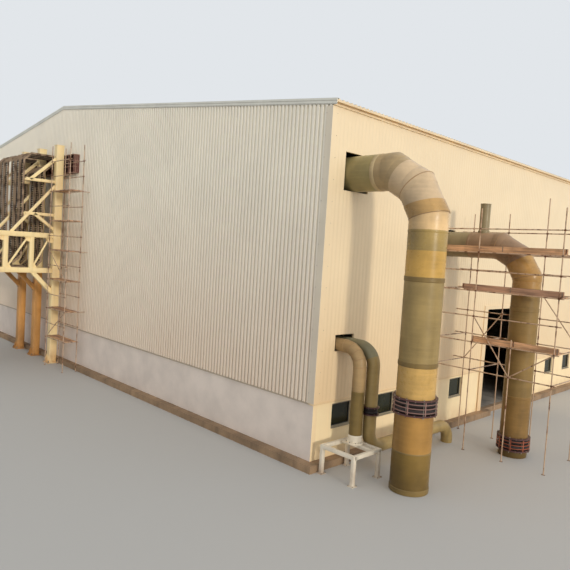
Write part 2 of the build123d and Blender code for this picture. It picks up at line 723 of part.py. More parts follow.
def front_small_pipe():
    """Out of the wall, then down to a flanged foot on the support frame."""
    x, y = WALL_X + FRONT_SMALL_STANDOFF, along(FRONT_SMALL_ALONG)
    foot = SUPPORT_TOP + SUPPORT_PLATE
    outer, bore = small_pipe([(CLADDING_INNER_X - INSIDE_REACH, y, SMALL_HEADER_Z),
                              (x, y, SMALL_HEADER_Z), (x, y, foot)])
    return outer.fuse(small_flange(x, y, foot)).cut(bore)


def rear_small_pipe():
    """Out of the wall, down, along the wall behind the large pipe, and down to the ground."""
    x, y = WALL_X + REAR_SMALL_STANDOFF, along(REAR_SMALL_ALONG)
    end = along(REAR_SMALL_RUN_END)
    outer, bore = small_pipe([(CLADDING_INNER_X - INSIDE_REACH, y, SMALL_HEADER_Z),
                              (x, y, SMALL_HEADER_Z), (x, y, REAR_SMALL_RUN_HEIGHT),
                              (x, end, REAR_SMALL_RUN_HEIGHT), (x, end, 0)])
    low = SMALL_COUPLING_HEIGHT
    flanges = [small_flange(x, y, low - SMALL_FLANGE_THICKNESS),
               small_flange(x, y, low + SMALL_COUPLING_LENGTH)]
    return outer.fuse(*flanges).cut(bore)


def small_coupling():
    """Rubber sleeve between the flanges of the rear small pipe."""
    x, y = WALL_X + REAR_SMALL_STANDOFF, along(REAR_SMALL_ALONG)
    low = SMALL_COUPLING_HEIGHT
    return ring(x, y, low, low + SMALL_COUPLING_LENGTH, SMALL_RADIUS + 20, SMALL_RADIUS,
                SMALL_PIPE_SIDES)


def support_frame():
    """Welded frame of square posts and rails with a plate under the pipe's foot."""
    x0, x1 = WALL_X + SUPPORT_NEAR, WALL_X + SUPPORT_FAR
    y0, y1 = along(SUPPORT_START), along(SUPPORT_START + SUPPORT_LENGTH)
    half = SUPPORT_STEEL / 2
    rail_z = SUPPORT_TOP - half
    pieces = []
    for x in (x0, x1):
        for y in (y0, y1):
            pieces.append(block(x - half, x + half, y - half, y + half, 0, SUPPORT_TOP))
            pieces.append(block(x - 1.8 * half, x + 1.8 * half, y - 1.8 * half, y + 1.8 * half,
                                0, SUPPORT_PLATE))
        pieces.append(bar((x, y0, rail_z), (x, y1, rail_z), SUPPORT_STEEL))
    for y in (y0, y1, along(FRONT_SMALL_ALONG)):
        pieces.append(bar((x0, y, rail_z), (x1, y, rail_z), SUPPORT_STEEL))
    foot_x, foot_y = WALL_X + FRONT_SMALL_STANDOFF, along(FRONT_SMALL_ALONG)
    pieces.append(block(foot_x - SMALL_FLANGE_RADIUS, foot_x + SMALL_FLANGE_RADIUS,
                        foot_y - SMALL_FLANGE_RADIUS, foot_y + SMALL_FLANGE_RADIUS,
                        SUPPORT_TOP, SUPPORT_TOP + SUPPORT_PLATE))
    return fused(pieces)


# Cable rack

def rack_column(x):
    """Box column on a gusseted base plate that is cut back at the hall's ledge."""
    y = outward(RACK_COLUMN_REACH)
    half = RACK_COLUMN_SIZE / 2
    base = RACK_BASE_SIZE / 2
    foot = RACK_BASE_THICKNESS
    pieces = [block(x - half, x + half, y - half, y + half, 0, RACK_COLUMN_HEIGHT),
              block(x - base, x + base, y - base, y + base, 0, foot)]
    gusset = [(-base, foot), (base, foot), (half, foot + RACK_GUSSET_HEIGHT),
              (-half, foot + RACK_GUSSET_HEIGHT)]
    for offset_x in (-half * 0.6, half * 0.6):
        pieces.append(profile_x([(y + v, z) for v, z in gusset], x + offset_x - 6, x + offset_x + 6))
    for offset_y in (-half * 0.6, half * 0.6):
        pieces.append(profile_y([(x + u, z) for u, z in gusset], y + offset_y - 6, y + offset_y + 6))
    ledge_edge = -PLINTH_Y - LEDGE_WIDTH - SEAT_CLEARANCE
    return fused(pieces) - block(x - base, x + base, ledge_edge, outward(0), 0, 2 * RACK_GUSSET_HEIGHT)


def rack_truss(x):
    """Cantilevered truss in one plane, with its knee brace and the stay up to the column."""
    start, end = TRUSS_START, TRUSS_END

    def member(reach0, z0, reach1, z1, size):
        return bar((x, outward(reach0), z0), (x, outward(reach1), z1), size)

    pieces = [member(start, TRUSS_BOTTOM, end, TRUSS_BOTTOM, CHORD_SIZE),
              member(start, TRUSS_TOP, end, TRUSS_TOP, CHORD_SIZE)]
    inner = start
    for reach in TRUSS_POSTS:
        post = reach - TRUSS_POST_SIZE / 2 if reach == end else reach
        pieces.append(member(post, TRUSS_BOTTOM, post, TRUSS_TOP, TRUSS_POST_SIZE))
        pieces.append(member(post, TRUSS_BOTTOM, inner + TRUSS_POST_SIZE / 2, TRUSS_TOP, DIAGONAL_SIZE))
        inner = reach
    foot = member(start - CHORD_SIZE, TRUSS_BOTTOM - BRACE_DROP - CHORD_SIZE, TRUSS_POSTS[0],
                  TRUSS_BOTTOM, KNEE_BRACE_SIZE)
    stay = member(TRUSS_POSTS[1] - STAY_INSET, TRUSS_TOP, start - CHORD_SIZE, STAY_HEIGHT + CHORD_SIZE,
                  STAY_SIZE)
    low_arm = arm_pieces(x, LOW_ARM_HEIGHT, LOW_BRACE_INSET, -LOW_BRACE_DROP)
    return fused(pieces + [foot, stay] + low_arm) - column_side(x)


def column_side(x):
    """The space on the wall's side of the column's outer face, which cuts members flush."""
    half = RACK_SPACING / 4
    return block(x - half, x + half, outward(TRUSS_START), outward(0), 0, 2 * RACK_COLUMN_HEIGHT)


def arm_pieces(x, height, brace_inset, brace_rise):
    """Short arm off the column with one diagonal brace, above it or below it."""
    inside = TRUSS_START - ARM_SIZE
    arm = bar((x, outward(inside), height), (x, outward(ARM_REACH), height), ARM_SIZE)
    brace = bar((x, outward(ARM_REACH - brace_inset), height),
                (x, outward(inside), height + brace_rise), ARM_SIZE)
    return [arm, brace]


def rack_bracket(x):
    pieces = arm_pieces(x, HIGH_ARM_HEIGHT, HIGH_BRACE_INSET, HIGH_BRACE_RISE)
    return fused(pieces) - column_side(x)


def rack_cross_beams():
    """Beams along the gable, butted between the trusses and brackets, that carry the ladders."""
    rows = [(reach - TRUSS_POST_SIZE / 2, TRUSS_BOTTOM, CHORD_SIZE) for reach in TRUSS_POSTS]
    rows.append((TRUSS_END - TRUSS_POST_SIZE / 2, TRUSS_TOP, CHORD_SIZE))
    for height in (LOW_ARM_HEIGHT, HIGH_ARM_HEIGHT):
        rows.append((INNER_BEAM_REACH, height, ARM_SIZE))
        rows.append((ARM_REACH - CROSS_BEAM_SIZE / 2, height, ARM_SIZE))
    pieces = []
    for reach, z, carrier in rows:
        for right, left in zip(RACK_XS, RACK_XS[1:]):
            pieces.append(bar((left + carrier / 2, outward(reach), z),
                              (right - carrier / 2, outward(reach), z), CROSS_BEAM_SIZE))
    return pieces


def ladder_xs():
    """Middles of the ladders, shared out in the gaps between the rack's columns."""
    clear = RACK_SPACING - RACK_COLUMN_SIZE
    xs = []
    for left in RACK_XS[1:]:
        for i in range(LADDERS_PER_GAP):
            xs.append(left + RACK_COLUMN_SIZE / 2 + clear * (i + 0.5) / LADDERS_PER_GAP)
    return xs


def cable_ladder(x, reach, low, high):
    """Ladder in from the truss end, up, and over into the wall, with 45 degree corners."""
    c = LADDER_CORNER
    points = [(TRUSS_END, low), (reach + c, low), (reach, low + c), (reach, high - c),
              (reach - c, high), (ENTRY_DEPTH, high)]
    path_points = [(outward(r), z) for r, z in points]
    pieces = []
    for side in (-1, 1):
        rail_x = x + side * (LADDER_WIDTH - LADDER_RAIL_THICKNESS) / 2
        path = Polyline(*[(rail_x, y, z) for y, z in path_points])
        section = Plane(origin=path @ 0, x_dir=(1, 0, 0), z_dir=path % 0)
        rail = sweep(section * Rectangle(LADDER_RAIL_THICKNESS, LADDER_RAIL_DEPTH), path,
                     transition=Transition.RIGHT)
        pieces.append(rail)
    middle = Polyline(*[(x, y, z) for y, z in path_points])
    rungs = int(middle.length // LADDER_RUNG_SPACING)
    for i in range(rungs):
        spot = middle.position_at((i + 0.5) / rungs)
        half = LADDER_WIDTH / 2 - LADDER_RAIL_THICKNESS / 2
        pieces.append(block(x - half, x + half, spot.Y - LADDER_RUNG / 2, spot.Y + LADDER_RUNG / 2,
                            spot.Z - LADDER_RUNG / 2, spot.Z + LADDER_RUNG / 2))
    return fused(pieces)


def cable_ladders():
    inner_reach = INNER_BEAM_REACH + (CROSS_BEAM_SIZE + LADDER_RAIL_DEPTH) / 2
    outer_reach = ARM_REACH + LADDER_RAIL_DEPTH / 2
    low = TRUSS_BOTTOM + CROSS_BEAM_SIZE / 2 + LADDER_RAIL_DEPTH / 2
    pieces = []
    for x in ladder_xs():
        pieces.append(cable_ladder(x, inner_reach, low, INNER_LADDER_HEIGHT))
        pieces.append(cable_ladder(x, outer_reach, low + 3 * LADDER_RAIL_DEPTH, OUTER_LADDER_HEIGHT))
    return pieces


def cable_entry_frame():
    """Framed grid of openings on the gable that the ladders run into."""
    y0, y1 = outward(ENTRY_DEPTH), outward(0)
    top = ENTRY_BOTTOM + ENTRY_HEIGHT
    frame = block(ENTRY_START_X, ENTRY_END_X, y0, y1, ENTRY_BOTTOM, top)
    cell = (ENTRY_END_X - ENTRY_START_X - ENTRY_PLATE) / ENTRY_CELLS
    row = (ENTRY_HEIGHT - ENTRY_PLATE) / ENTRY_ROWS
    for i in range(ENTRY_CELLS):
        x = ENTRY_START_X + ENTRY_PLATE + i * cell
        for j in range(ENTRY_ROWS):
            z = ENTRY_BOTTOM + ENTRY_PLATE + j * row
            frame -= block(x, x + cell - ENTRY_PLATE, y0, y1 - ENTRY_PLATE, z, z + row - ENTRY_PLATE)
    return frame


# Scaffolds

def planks(x0, x1, y0, count, z):
    """Boards side by side along X, with small gaps."""
    pitch = PLANK_WIDTH + PLANK_GAP
    return [block(x0, x1, y0 + i * pitch, y0 + i * pitch + PLANK_WIDTH, z, z + PLANK_THICKNESS)
            for i in range(count)]


def tube_side(xs, y, levels, tops, start, braces):
    """One flat side of a scaffold: standards, ledgers from a starting X, and braces.

    Each brace gives the standard and the level that it starts from and ends at.
    """
    pieces = [bar((x, y, 0), (x, y, top), TUBE) for x, top in zip(xs, tops)]
    for z in levels:
        pieces.append(bar((start, y, z), (xs[-1] + TUBE_OVERHANG, y, z), TUBE))
    for first, low, second, high in braces:
        pieces.append(bar((xs[first], y, levels[low]), (xs[second], y, levels[high]), TUBE))
    return fused(pieces)


def rack_scaffold():
    """Narrow tube tower beside the rack, tied to the gable."""
    xs = [RACK_SCAFFOLD_START_X + i * RACK_SCAFFOLD_BAY for i in range(RACK_SCAFFOLD_BAYS + 1)]
    near, far = outward(RACK_SCAFFOLD_NEAR + RACK_SCAFFOLD_DEPTH), outward(RACK_SCAFFOLD_NEAR)
    levels = [i * RACK_LIFT_HEIGHT for i in range(1, RACK_SCAFFOLD_LIFTS + 1)]
    start = xs[0] - TUBE_OVERHANG
    tops = [RACK_SCAFFOLD_TOP] * len(xs)
    front = tube_side(xs, near, levels, tops, start, [(0, 0, 1, 1), (1, 2, 0, 3)])
    back = tube_side(xs, far, levels, tops, start, [])
    transoms, boards = [], []
    for i in range(1, RACK_SCAFFOLD_LIFTS):
        z = i * RACK_LIFT_HEIGHT
        for x in xs:
            transoms.append(bar((x, near + TUBE / 2, z), (x, far - TUBE / 2, z), TUBE))
            if i % TIE_EVERY == 0:
                transoms.append(bar((x, far + TUBE / 2, z), (x, outward(0), z), TUBE))
        boards += planks(xs[0] - TUBE, xs[-1] + TUBE, near + 2 * TUBE, 3, z + TUBE / 2)
    save("rack_scaffold_front_side", front)
    save("rack_scaffold_back_side", back)
    save("rack_scaffold_boards", *boards)
    return transoms


def access_scaffold():
    """Boarded tube tower round the second pipe's riser, with ledgers butted to the long wall."""
    xs = [WALL_X + ACCESS_START + i * ACCESS_BAY for i in range(ACCESS_BAYS + 1)]
    near, far = along(ACCESS_ALONG), along(ACCESS_ALONG + ACCESS_DEPTH)
    levels = sorted(ACCESS_RAILS + ACCESS_DECKS)
    front_tops = [ACCESS_TOP, ACCESS_TOP, ACCESS_SHORT_TOP, ACCESS_TOP]
    back_tops = [ACCESS_TOP, ACCESS_TOP, ACCESS_TALL_TOP, ACCESS_TOP]
    front = tube_side(xs, near, levels, front_tops, WALL_X, [(1, 2, 2, 0), (2, 0, 3, 1)])
    back = tube_side(xs, far, levels, back_tops, WALL_X, [(0, 0, 1, 2), (2, 3, 3, 1)])
    transoms, boards = [], []
    for z in (ACCESS_RAILS[0],) + ACCESS_DECKS:
        for x, top in zip(xs, front_tops):
            if abs(x - WALL_X - SECOND_STANDOFF) > SECOND_RADIUS + TUBE and z < top:
                if abs(z - SECOND_HEADER_Z) > SECOND_RADIUS + TUBE or x > WALL_X + SECOND_STANDOFF:
                    transoms.append(bar((x, near + TUBE / 2, z), (x, far - TUBE / 2, z), TUBE))
    x1, y0 = xs[-1] + 3 * TUBE, near + TUBE
    for deck, start in zip(ACCESS_DECKS, ACCESS_DECK_STARTS):
        x0 = WALL_X + start
        z = deck + TUBE / 2
        top = z + PLANK_THICKNESS
        boards += planks(x0, x1, y0, 3, z)
        boards.append(block(x0, x1, y0, y0 + PLANK_THICKNESS, top, top + TOE_BOARD_HEIGHT))
    save("access_scaffold_front_side", front)
    save("access_scaffold_back_side", back)
    save("access_scaffold_boards", *boards)
    return transoms


def main():
    save("ground_beam", ground_beam())
    save("floor_slab", floor_slab())
    inner_y = PLINTH_INNER_Y
    save("gable_plinth_walls", gable_plinth(-1), gable_plinth(1))
    save("left_plinth_wall", long_plinth(-1, -inner_y, inner_y))
    save("right_plinth_wall_near", long_plinth(1, -inner_y, along(DOOR_START)))
    save("right_plinth_wall_far", long_plinth(1, along(DOOR_END), inner_y))
    save("front_cladding", gable_cladding(-1))
    save("rear_cladding", gable_cladding(1))
    save("left_cladding", long_cladding(-1, -CLADDING_INNER_Y, CLADDING_INNER_Y))
    save("right_cladding_near", long_cladding(1, -CLADDING_INNER_Y, along(DOOR_START)))
    save("right_cladding_over_door", long_cladding(1, along(DOOR_START), along(DOOR_END), DOOR_TOP))
    save("right_cladding_far", long_cladding(1, along(DOOR_END), CLADDING_INNER_Y))
    save("roof_right", roof_slope(1))
    save("roof_left", roof_slope(-1))
    save("ridge_cap", ridge_cap())
    save("verge_trims", verge_trim(-1), verge_trim(1))
    save("eave_trims", eave_trim(-1), eave_trim(1))
    save("corner_trims", *[corner_trim(a, b) for a in (-1, 1) for b in (-1, 1)])
    save("plinth_drips", *plinth_drips())
    save("doorway_trim", *doorway_trim())
    frames, panes = window_pieces()
    save("window_frames", *frames)
    save("window_glass", *panes)
    save("portal_columns", *[portal_column(side, y) for side in (-1, 1) for y in FRAME_YS])
    save("right_rafters", *[portal_rafter(1, y) for y in FRAME_YS])
    save("left_rafters", *[portal_rafter(-1, y) for y in FRAME_YS])
    save("gable_posts", *gable_posts())
    save("purlins", *purlins(1), *purlins(-1))
    save("wall_girts", *wall_girts(1), *wall_girts(-1))
    save("gable_girts", *gable_girts())
    large_pipe()
    second_pipe()
    save("front_small_pipe", front_small_pipe())
    save("rear_small_pipe", rear_small_pipe())
    save("small_pipe_coupling", small_coupling())
    save("pipe_support_frame", support_frame())
    save("rack_columns", *[rack_column(x) for x in RACK_XS])
    save("rack_trusses", *[rack_truss(x) for x in RACK_XS])
    save("rack_brackets", *[rack_bracket(x) for x in RACK_XS])
    save("rack_cross_beams", *rack_cross_beams())
    save("cable_ladders", *cable_ladders())
    save("cable_entry_frame", cable_entry_frame())
    transoms = rack_scaffold() + access_scaffold()
    save("scaffold_transoms", *transoms)


main()
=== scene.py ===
from itertools import product
from math import cos, pi, radians, sin

import bmesh
import bpy
from mathutils import Matrix, Vector


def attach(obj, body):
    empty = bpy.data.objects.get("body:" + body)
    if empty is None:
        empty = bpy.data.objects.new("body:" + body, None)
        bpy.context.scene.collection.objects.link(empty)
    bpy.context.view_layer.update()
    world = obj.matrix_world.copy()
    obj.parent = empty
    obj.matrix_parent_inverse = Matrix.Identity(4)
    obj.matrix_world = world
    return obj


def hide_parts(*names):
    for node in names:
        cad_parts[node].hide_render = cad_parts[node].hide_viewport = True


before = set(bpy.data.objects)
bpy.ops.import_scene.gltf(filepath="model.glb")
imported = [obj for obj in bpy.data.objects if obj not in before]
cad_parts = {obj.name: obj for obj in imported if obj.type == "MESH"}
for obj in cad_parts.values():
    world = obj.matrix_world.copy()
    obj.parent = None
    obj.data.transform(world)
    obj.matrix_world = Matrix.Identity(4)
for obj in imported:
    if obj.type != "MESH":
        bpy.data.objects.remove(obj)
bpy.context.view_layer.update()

BOTH = (-1, 1)
CORNERS = list(product(BOTH, BOTH))
UP = Vector((0, 0, 1))

# Hall, in metres
WALL_X = 12.325
WALL_Y = 9.375
FRONT = -WALL_Y
EAVE = 7.17
RIDGE = 8.69
SLOPE = (RIDGE - EAVE) / WALL_X
ROOF_THICKNESS = 0.06
ROOF_EDGE = WALL_X + 0.1
CLADDING = 0.05
PLINTH_TOP = 1.295
PLINTH_X = 12.31
PLINTH_Y = 9.36
DOOR = (6.875, 9.125, 3.0)
PIPE_HOLES = [(0.465, 1.225, 5.5, 6.25), (4.17, 4.83, 4.36, 5.01), (0.52, 1.1, 2.3, 2.63)]
WINDOW = (0.625, 0.5, 0.725)
WINDOW_PLACES = [0.8875 + 1.525 * i for i in range(12)]

# Ribs: pitch, depth, and the crest's and a slope's share of the pitch
GABLE_RIBS = (0.111, 0.031, 0.5, 0.08)
WALL_RIBS = (0.111, 0.004, 0.42, 0.17)
ROOF_RIBS = (0.125, 0.02, 0.22, 0.1)

# Pipes: the riser's X and Y, its radius and number of sides; a Z is a header's height
LARGE = (14.05, FRONT + 0.845, 0.355, 72)
SECOND = (14.35, FRONT + 4.5, 0.3, 64)
SMALL_SIDES = 36
FRONT_SMALL = (12.875, FRONT + 0.665, 0.13, SMALL_SIDES)
REAR_SMALL = (12.985, FRONT + 0.955, 0.13, SMALL_SIDES)
LARGE_Z, SECOND_Z, SMALL_Z = 5.8553, 4.6603, 2.4303
PIPE_START = WALL_X - CLADDING - 0.4
PIPE_WALL, SMALL_WALL = 0.012, 0.008

# Cable rack; a reach is measured out from the gable
RACK_XS = (0.545, -0.93, -2.405)
RACK_REACH = 0.32
RACK_TOP = 7.26
COLUMN = 0.25
TRUSS_START = RACK_REACH + COLUMN / 2
TRUSS_POSTS = (1.115, 1.915, 2.715, 3.515)
TRUSS_END = TRUSS_POSTS[-1]
TRUSS_LOW, TRUSS_HIGH = 3.105, 4.26
CHORD, POST, DIAGONAL, KNEE, STAY, ARM = 0.165, 0.14, 0.055, 0.135, 0.085, 0.095
ARM_REACH = 1.335
LOW_ARM, HIGH_ARM = 4.945, 6.04
INNER_BEAM = 0.65
CROSS_BEAM = 0.08
LADDER_WIDTH = 0.29
RAIL_WIDTH, RAIL_DEPTH = 0.014, 0.06
LADDER_CORNER = 0.22
LADDERS_PER_GAP = 3
RUNG_PITCH = 0.075
ENTRY = (-2.8, 1.4, 6.35, 6.95)
ENTRY_DEPTH = 0.19
ENTRY_CELLS = (10, 3)
ENTRY_PLATE = 0.02

# Scaffolds
TUBE = 0.013
TUBE_OVERHANG = 0.1
PLANK_WIDTH, PLANK_PITCH, PLANK = 0.112, 0.118, 0.02
TOE_BOARD = 0.11
RACK_LIFTS = [0.95 * i for i in range(1, 8)]
ACCESS_DECKS = (2.47, 3.62, 4.48)
ACCESS_DECK_STARTS = (1.175, 0.85, 0.352)
ACCESS_RAILS = (1.84, 3.05, 4.07, 5.0)

# Light
FILL = 0.8
FILL_TILT = 0.5
SUN = 1.13
SKY = (226, 230, 234)


# Colours and materials

def linear(rgb, factor=1.0):
    """A screen colour, times a factor, as linear light."""
    parts = [min(255, c * factor) / 255 for c in rgb]
    return (*(c / 12.92 if c <= 0.04045 else ((c + 0.055) / 1.055) ** 2.4 for c in parts), 1.0)


class Nodes:
    def __init__(self, owner, shader="Principled BSDF", coords="Object"):
        owner.use_nodes = True
        self.owner, self.tree = owner, owner.node_tree
        self.shader = self.tree.nodes[shader]
        self.coords = self.make("TexCoord", {}, coords)

    def feed(self, node, values):
        for key, value in values.items():
            if isinstance(value, bpy.types.NodeSocket):
                self.tree.links.new(value, node.inputs[key])
            else:
                node.inputs[key].default_value = value

    def make(self, kind, values, output=0, **settings):
        node = self.tree.nodes.new("ShaderNode" + kind)
        for key, value in settings.items():
            setattr(node, key, value)
        self.feed(node, values)
        return node.outputs[output]

    def noise(self, scale, detail, stretch=None):
        place = self.make("Mapping", {"Scale": stretch, "Vector": self.coords}) if stretch else self.coords
        return self.make("TexNoise", {"Scale": scale, "Detail": detail, "Roughness": 0.55, "Vector": place}, "Fac")

    def span(self, value, low, high, out_low=0.0, out_high=1.0):
        return self.make("MapRange", {"Value": value, "From Min": low, "From Max": high,
            "To Min": out_low, "To Max": out_high})

    def patches(self, scale, detail, low=0.3, high=0.7, least=0.0, most=1.0, stretch=None):
        return self.span(self.noise(scale, detail, stretch), low, high, least, most)

    def times(self, a, b):
        return self.make("Math", {0: a, 1: b}, operation="MULTIPLY")

    def plus(self, a, b):
        return self.make("Math", {0: a, 1: b})

    def mix(self, fac, a, b):
        return self.make("Mix", {"Factor": fac, 6: a, 7: b}, 2, data_type="RGBA")

    def tones(self, rgb, dark, pale, *noise):
        return self.mix(self.patches(*noise), linear(rgb, dark), linear(rgb, pale))

    def stain(self, colour, mask, share, rgb, factor=1.0):
        return self.mix(self.times(mask, share), colour, linear(rgb, factor))

    def along(self, axis):
        return self.make("SeparateXYZ", {0: self.coords}, axis)

    def facing(self, direction):
        normal = self.make("NewGeometry", {}, "Normal")
        return self.make("VectorMath", {0: normal, 1: direction}, "Value", operation="DOT_PRODUCT")

    def finish(self, colour, rough, bump, distance, strength, **more):
        """Connect the shader; _ stands for a space in the other sockets' names."""
        normal = self.make("Bump", {"Strength": strength, "Distance": distance, "Height": bump})
        self.feed(self.shader, {"Base Color": colour, "Roughness": rough, "Normal": normal,
            **{key.replace("_", " "): value for key, value in more.items()}})

    def surface(self, share, first, second, output):
        mixed = self.make("MixShader", {0: share, 1: first, 2: second})
        self.feed(self.tree.nodes[output], {"Surface": mixed})


def painted(n, rgb, rough=0.45, streaks=0.07, blotch=0.05, dust_and_shade=None, dust_and_shade_top=0.0):
    """Soft blotches, rain streaks and dust near the foot; in the gable grooves the same darkening is painted shade.
    """
    colour = n.tones(rgb, 1 - blotch, 1 + blotch, 0.9, 4, 0.35, 0.65)
    if streaks:
        colour = n.stain(colour, n.patches(6, 4, 0.5, 0.72, stretch=(1, 1, 0.07)), streaks * 3, rgb, 0.72)
    if dust_and_shade:
        scale, least = (3.5, 0.0) if dust_and_shade_top < 2 else (0.35, 0.7)
        low = n.span(n.along(2), dust_and_shade_top, 0.0)
        colour = n.stain(colour, low, n.patches(scale, 4, least=least), dust_and_shade)
    n.finish(colour, n.patches(5, 4, least=rough - 0.08, most=rough + 0.1), n.noise(14, 3), 0.003, 0.25)


def shade_and_sun_tones(n, rgb, sunlit_rgb, by_place, rough=0.45):
    """A cooler colour along the gables and a warm sunlit copy along the long sides, by place or by direction: painted
    shade and sunlight.
    """
    across = n.along(0) if by_place else n.facing((1, 0, 0))
    low, high = (WALL_X - 0.15, WALL_X - 0.05) if by_place else (0.6, 0.8)
    colour = n.mix(n.span(n.times(across, across), low ** 2, high ** 2), n.tones(rgb, 0.96, 1.03, 1.4, 4, 0.35, 0.65),
        n.tones(sunlit_rgb, 0.97, 1.02, 1.4, 4, 0.35, 0.65))
    n.finish(colour, n.patches(6, 3, least=rough - 0.05, most=rough + 0.1), n.noise(14, 3), 0.003, 0.25)


def laminate(n, rgb, rough=0.36, wet=0.15, ground_shade=0.0, ground_shade_top=1.0):
    """Wound glass fibre: hoops, blotches and runs, painted shade on the side away from the sun and towards the
    ground.
    """
    hoops = n.noise(5, 3, (0.3, 0.3, 4.0))
    colour = n.tones(rgb, 0.88, 1.08, 1.7, 5)
    colour = n.stain(colour, n.patches(5, 4, 0.5, 0.75, stretch=(1, 1, 0.12)), 0.3, rgb, 0.7)
    colour = n.stain(colour, n.span(hoops, 0.45, 0.75), 0.25, rgb, 1.15)
    # Painted shade: the side turned away from the sun is darker.
    painted_shade_side = n.span(n.facing((-0.78, -0.6, -0.17)), 0.1, 1.0)
    colour = n.stain(colour, painted_shade_side, n.patches(1.2, 3, 0.2, 0.7, 0.35, 0.6), rgb, 0.45)
    # Painted shade: darker towards the ground, where less light reaches the pipes' feet.
    if ground_shade:
        low = n.times(n.span(n.along(2), ground_shade_top, 0.0), n.patches(2.4, 5, 0.2, 0.6, 0.4))
        colour = n.stain(colour, low, ground_shade, (58, 44, 26))
    bump = n.plus(n.times(hoops, 0.6), n.noise(25, 3))
    n.finish(colour, n.patches(9, 3, least=rough - 0.08, most=rough + 0.12), bump, 0.002, 0.25,
        Specular_IOR_Level=0.28, Coat_Weight=wet * 0.5, Coat_Roughness=0.3)


def concrete(n, rgb):
    grit = n.noise(70, 4)
    colour = n.tones(rgb, 0.82, 1.1, 1.6, 6)
    colour = n.stain(colour, n.patches(4, 5, 0.52, 0.68, stretch=(1, 1, 0.3)), 0.5, rgb, 0.68)
    colour = n.stain(colour, n.span(grit, 0.55, 0.75), 0.4, rgb, 0.6)
    n.finish(colour, 0.85, n.plus(grit, n.noise(9, 4)), 0.006, 0.5)


def rusty(n, rgb, rust, amount, rough, metallic):
    """Worn steel or paint under patches of rust."""
    rusted = n.patches(7, 6, 0.6 - amount * 0.3, 0.72 - amount * 0.3, stretch=(1, 1, 0.6))
    colour = n.mix(rusted, linear(rgb), n.tones(rust, 1, 0.6, 30, 4, 0.35, 0.65))
    n.finish(colour, n.patches(20, 4, least=rough - 0.1, most=rough + 0.2), n.noise(90, 4), 0.001, 0.5,
        Metallic=metallic)


def timber(n, rgb):
    """Long grain, darker weathering and a few pale scuffs."""
    grain = n.noise(28, 6, (0.07, 1, 1))
    colour = n.mix(n.span(grain, 0.3, 0.7), linear(rgb, 0.72), linear(rgb, 1.12))
    colour = n.stain(colour, n.patches(2.5, 5, 0.45, 0.7), 0.5, rgb, 0.62)
    colour = n.stain(colour, n.patches(11, 5, 0.62, 0.72, stretch=(0.3, 1, 1)), 0.6, (205, 178, 150))
    n.finish(colour, 0.8, grain, 0.002, 0.6)


def glass(n, rgb):
    n.finish(n.tones(rgb, 0.7, 1.3, 1.2, 3), n.patches(18, 4, 0.3, 0.75, 0.06, 0.2), n.noise(1.5, 2), 0.003, 0.1,
        Specular_IOR_Level=0.3, Coat_Weight=0.08, Coat_Roughness=0.05)


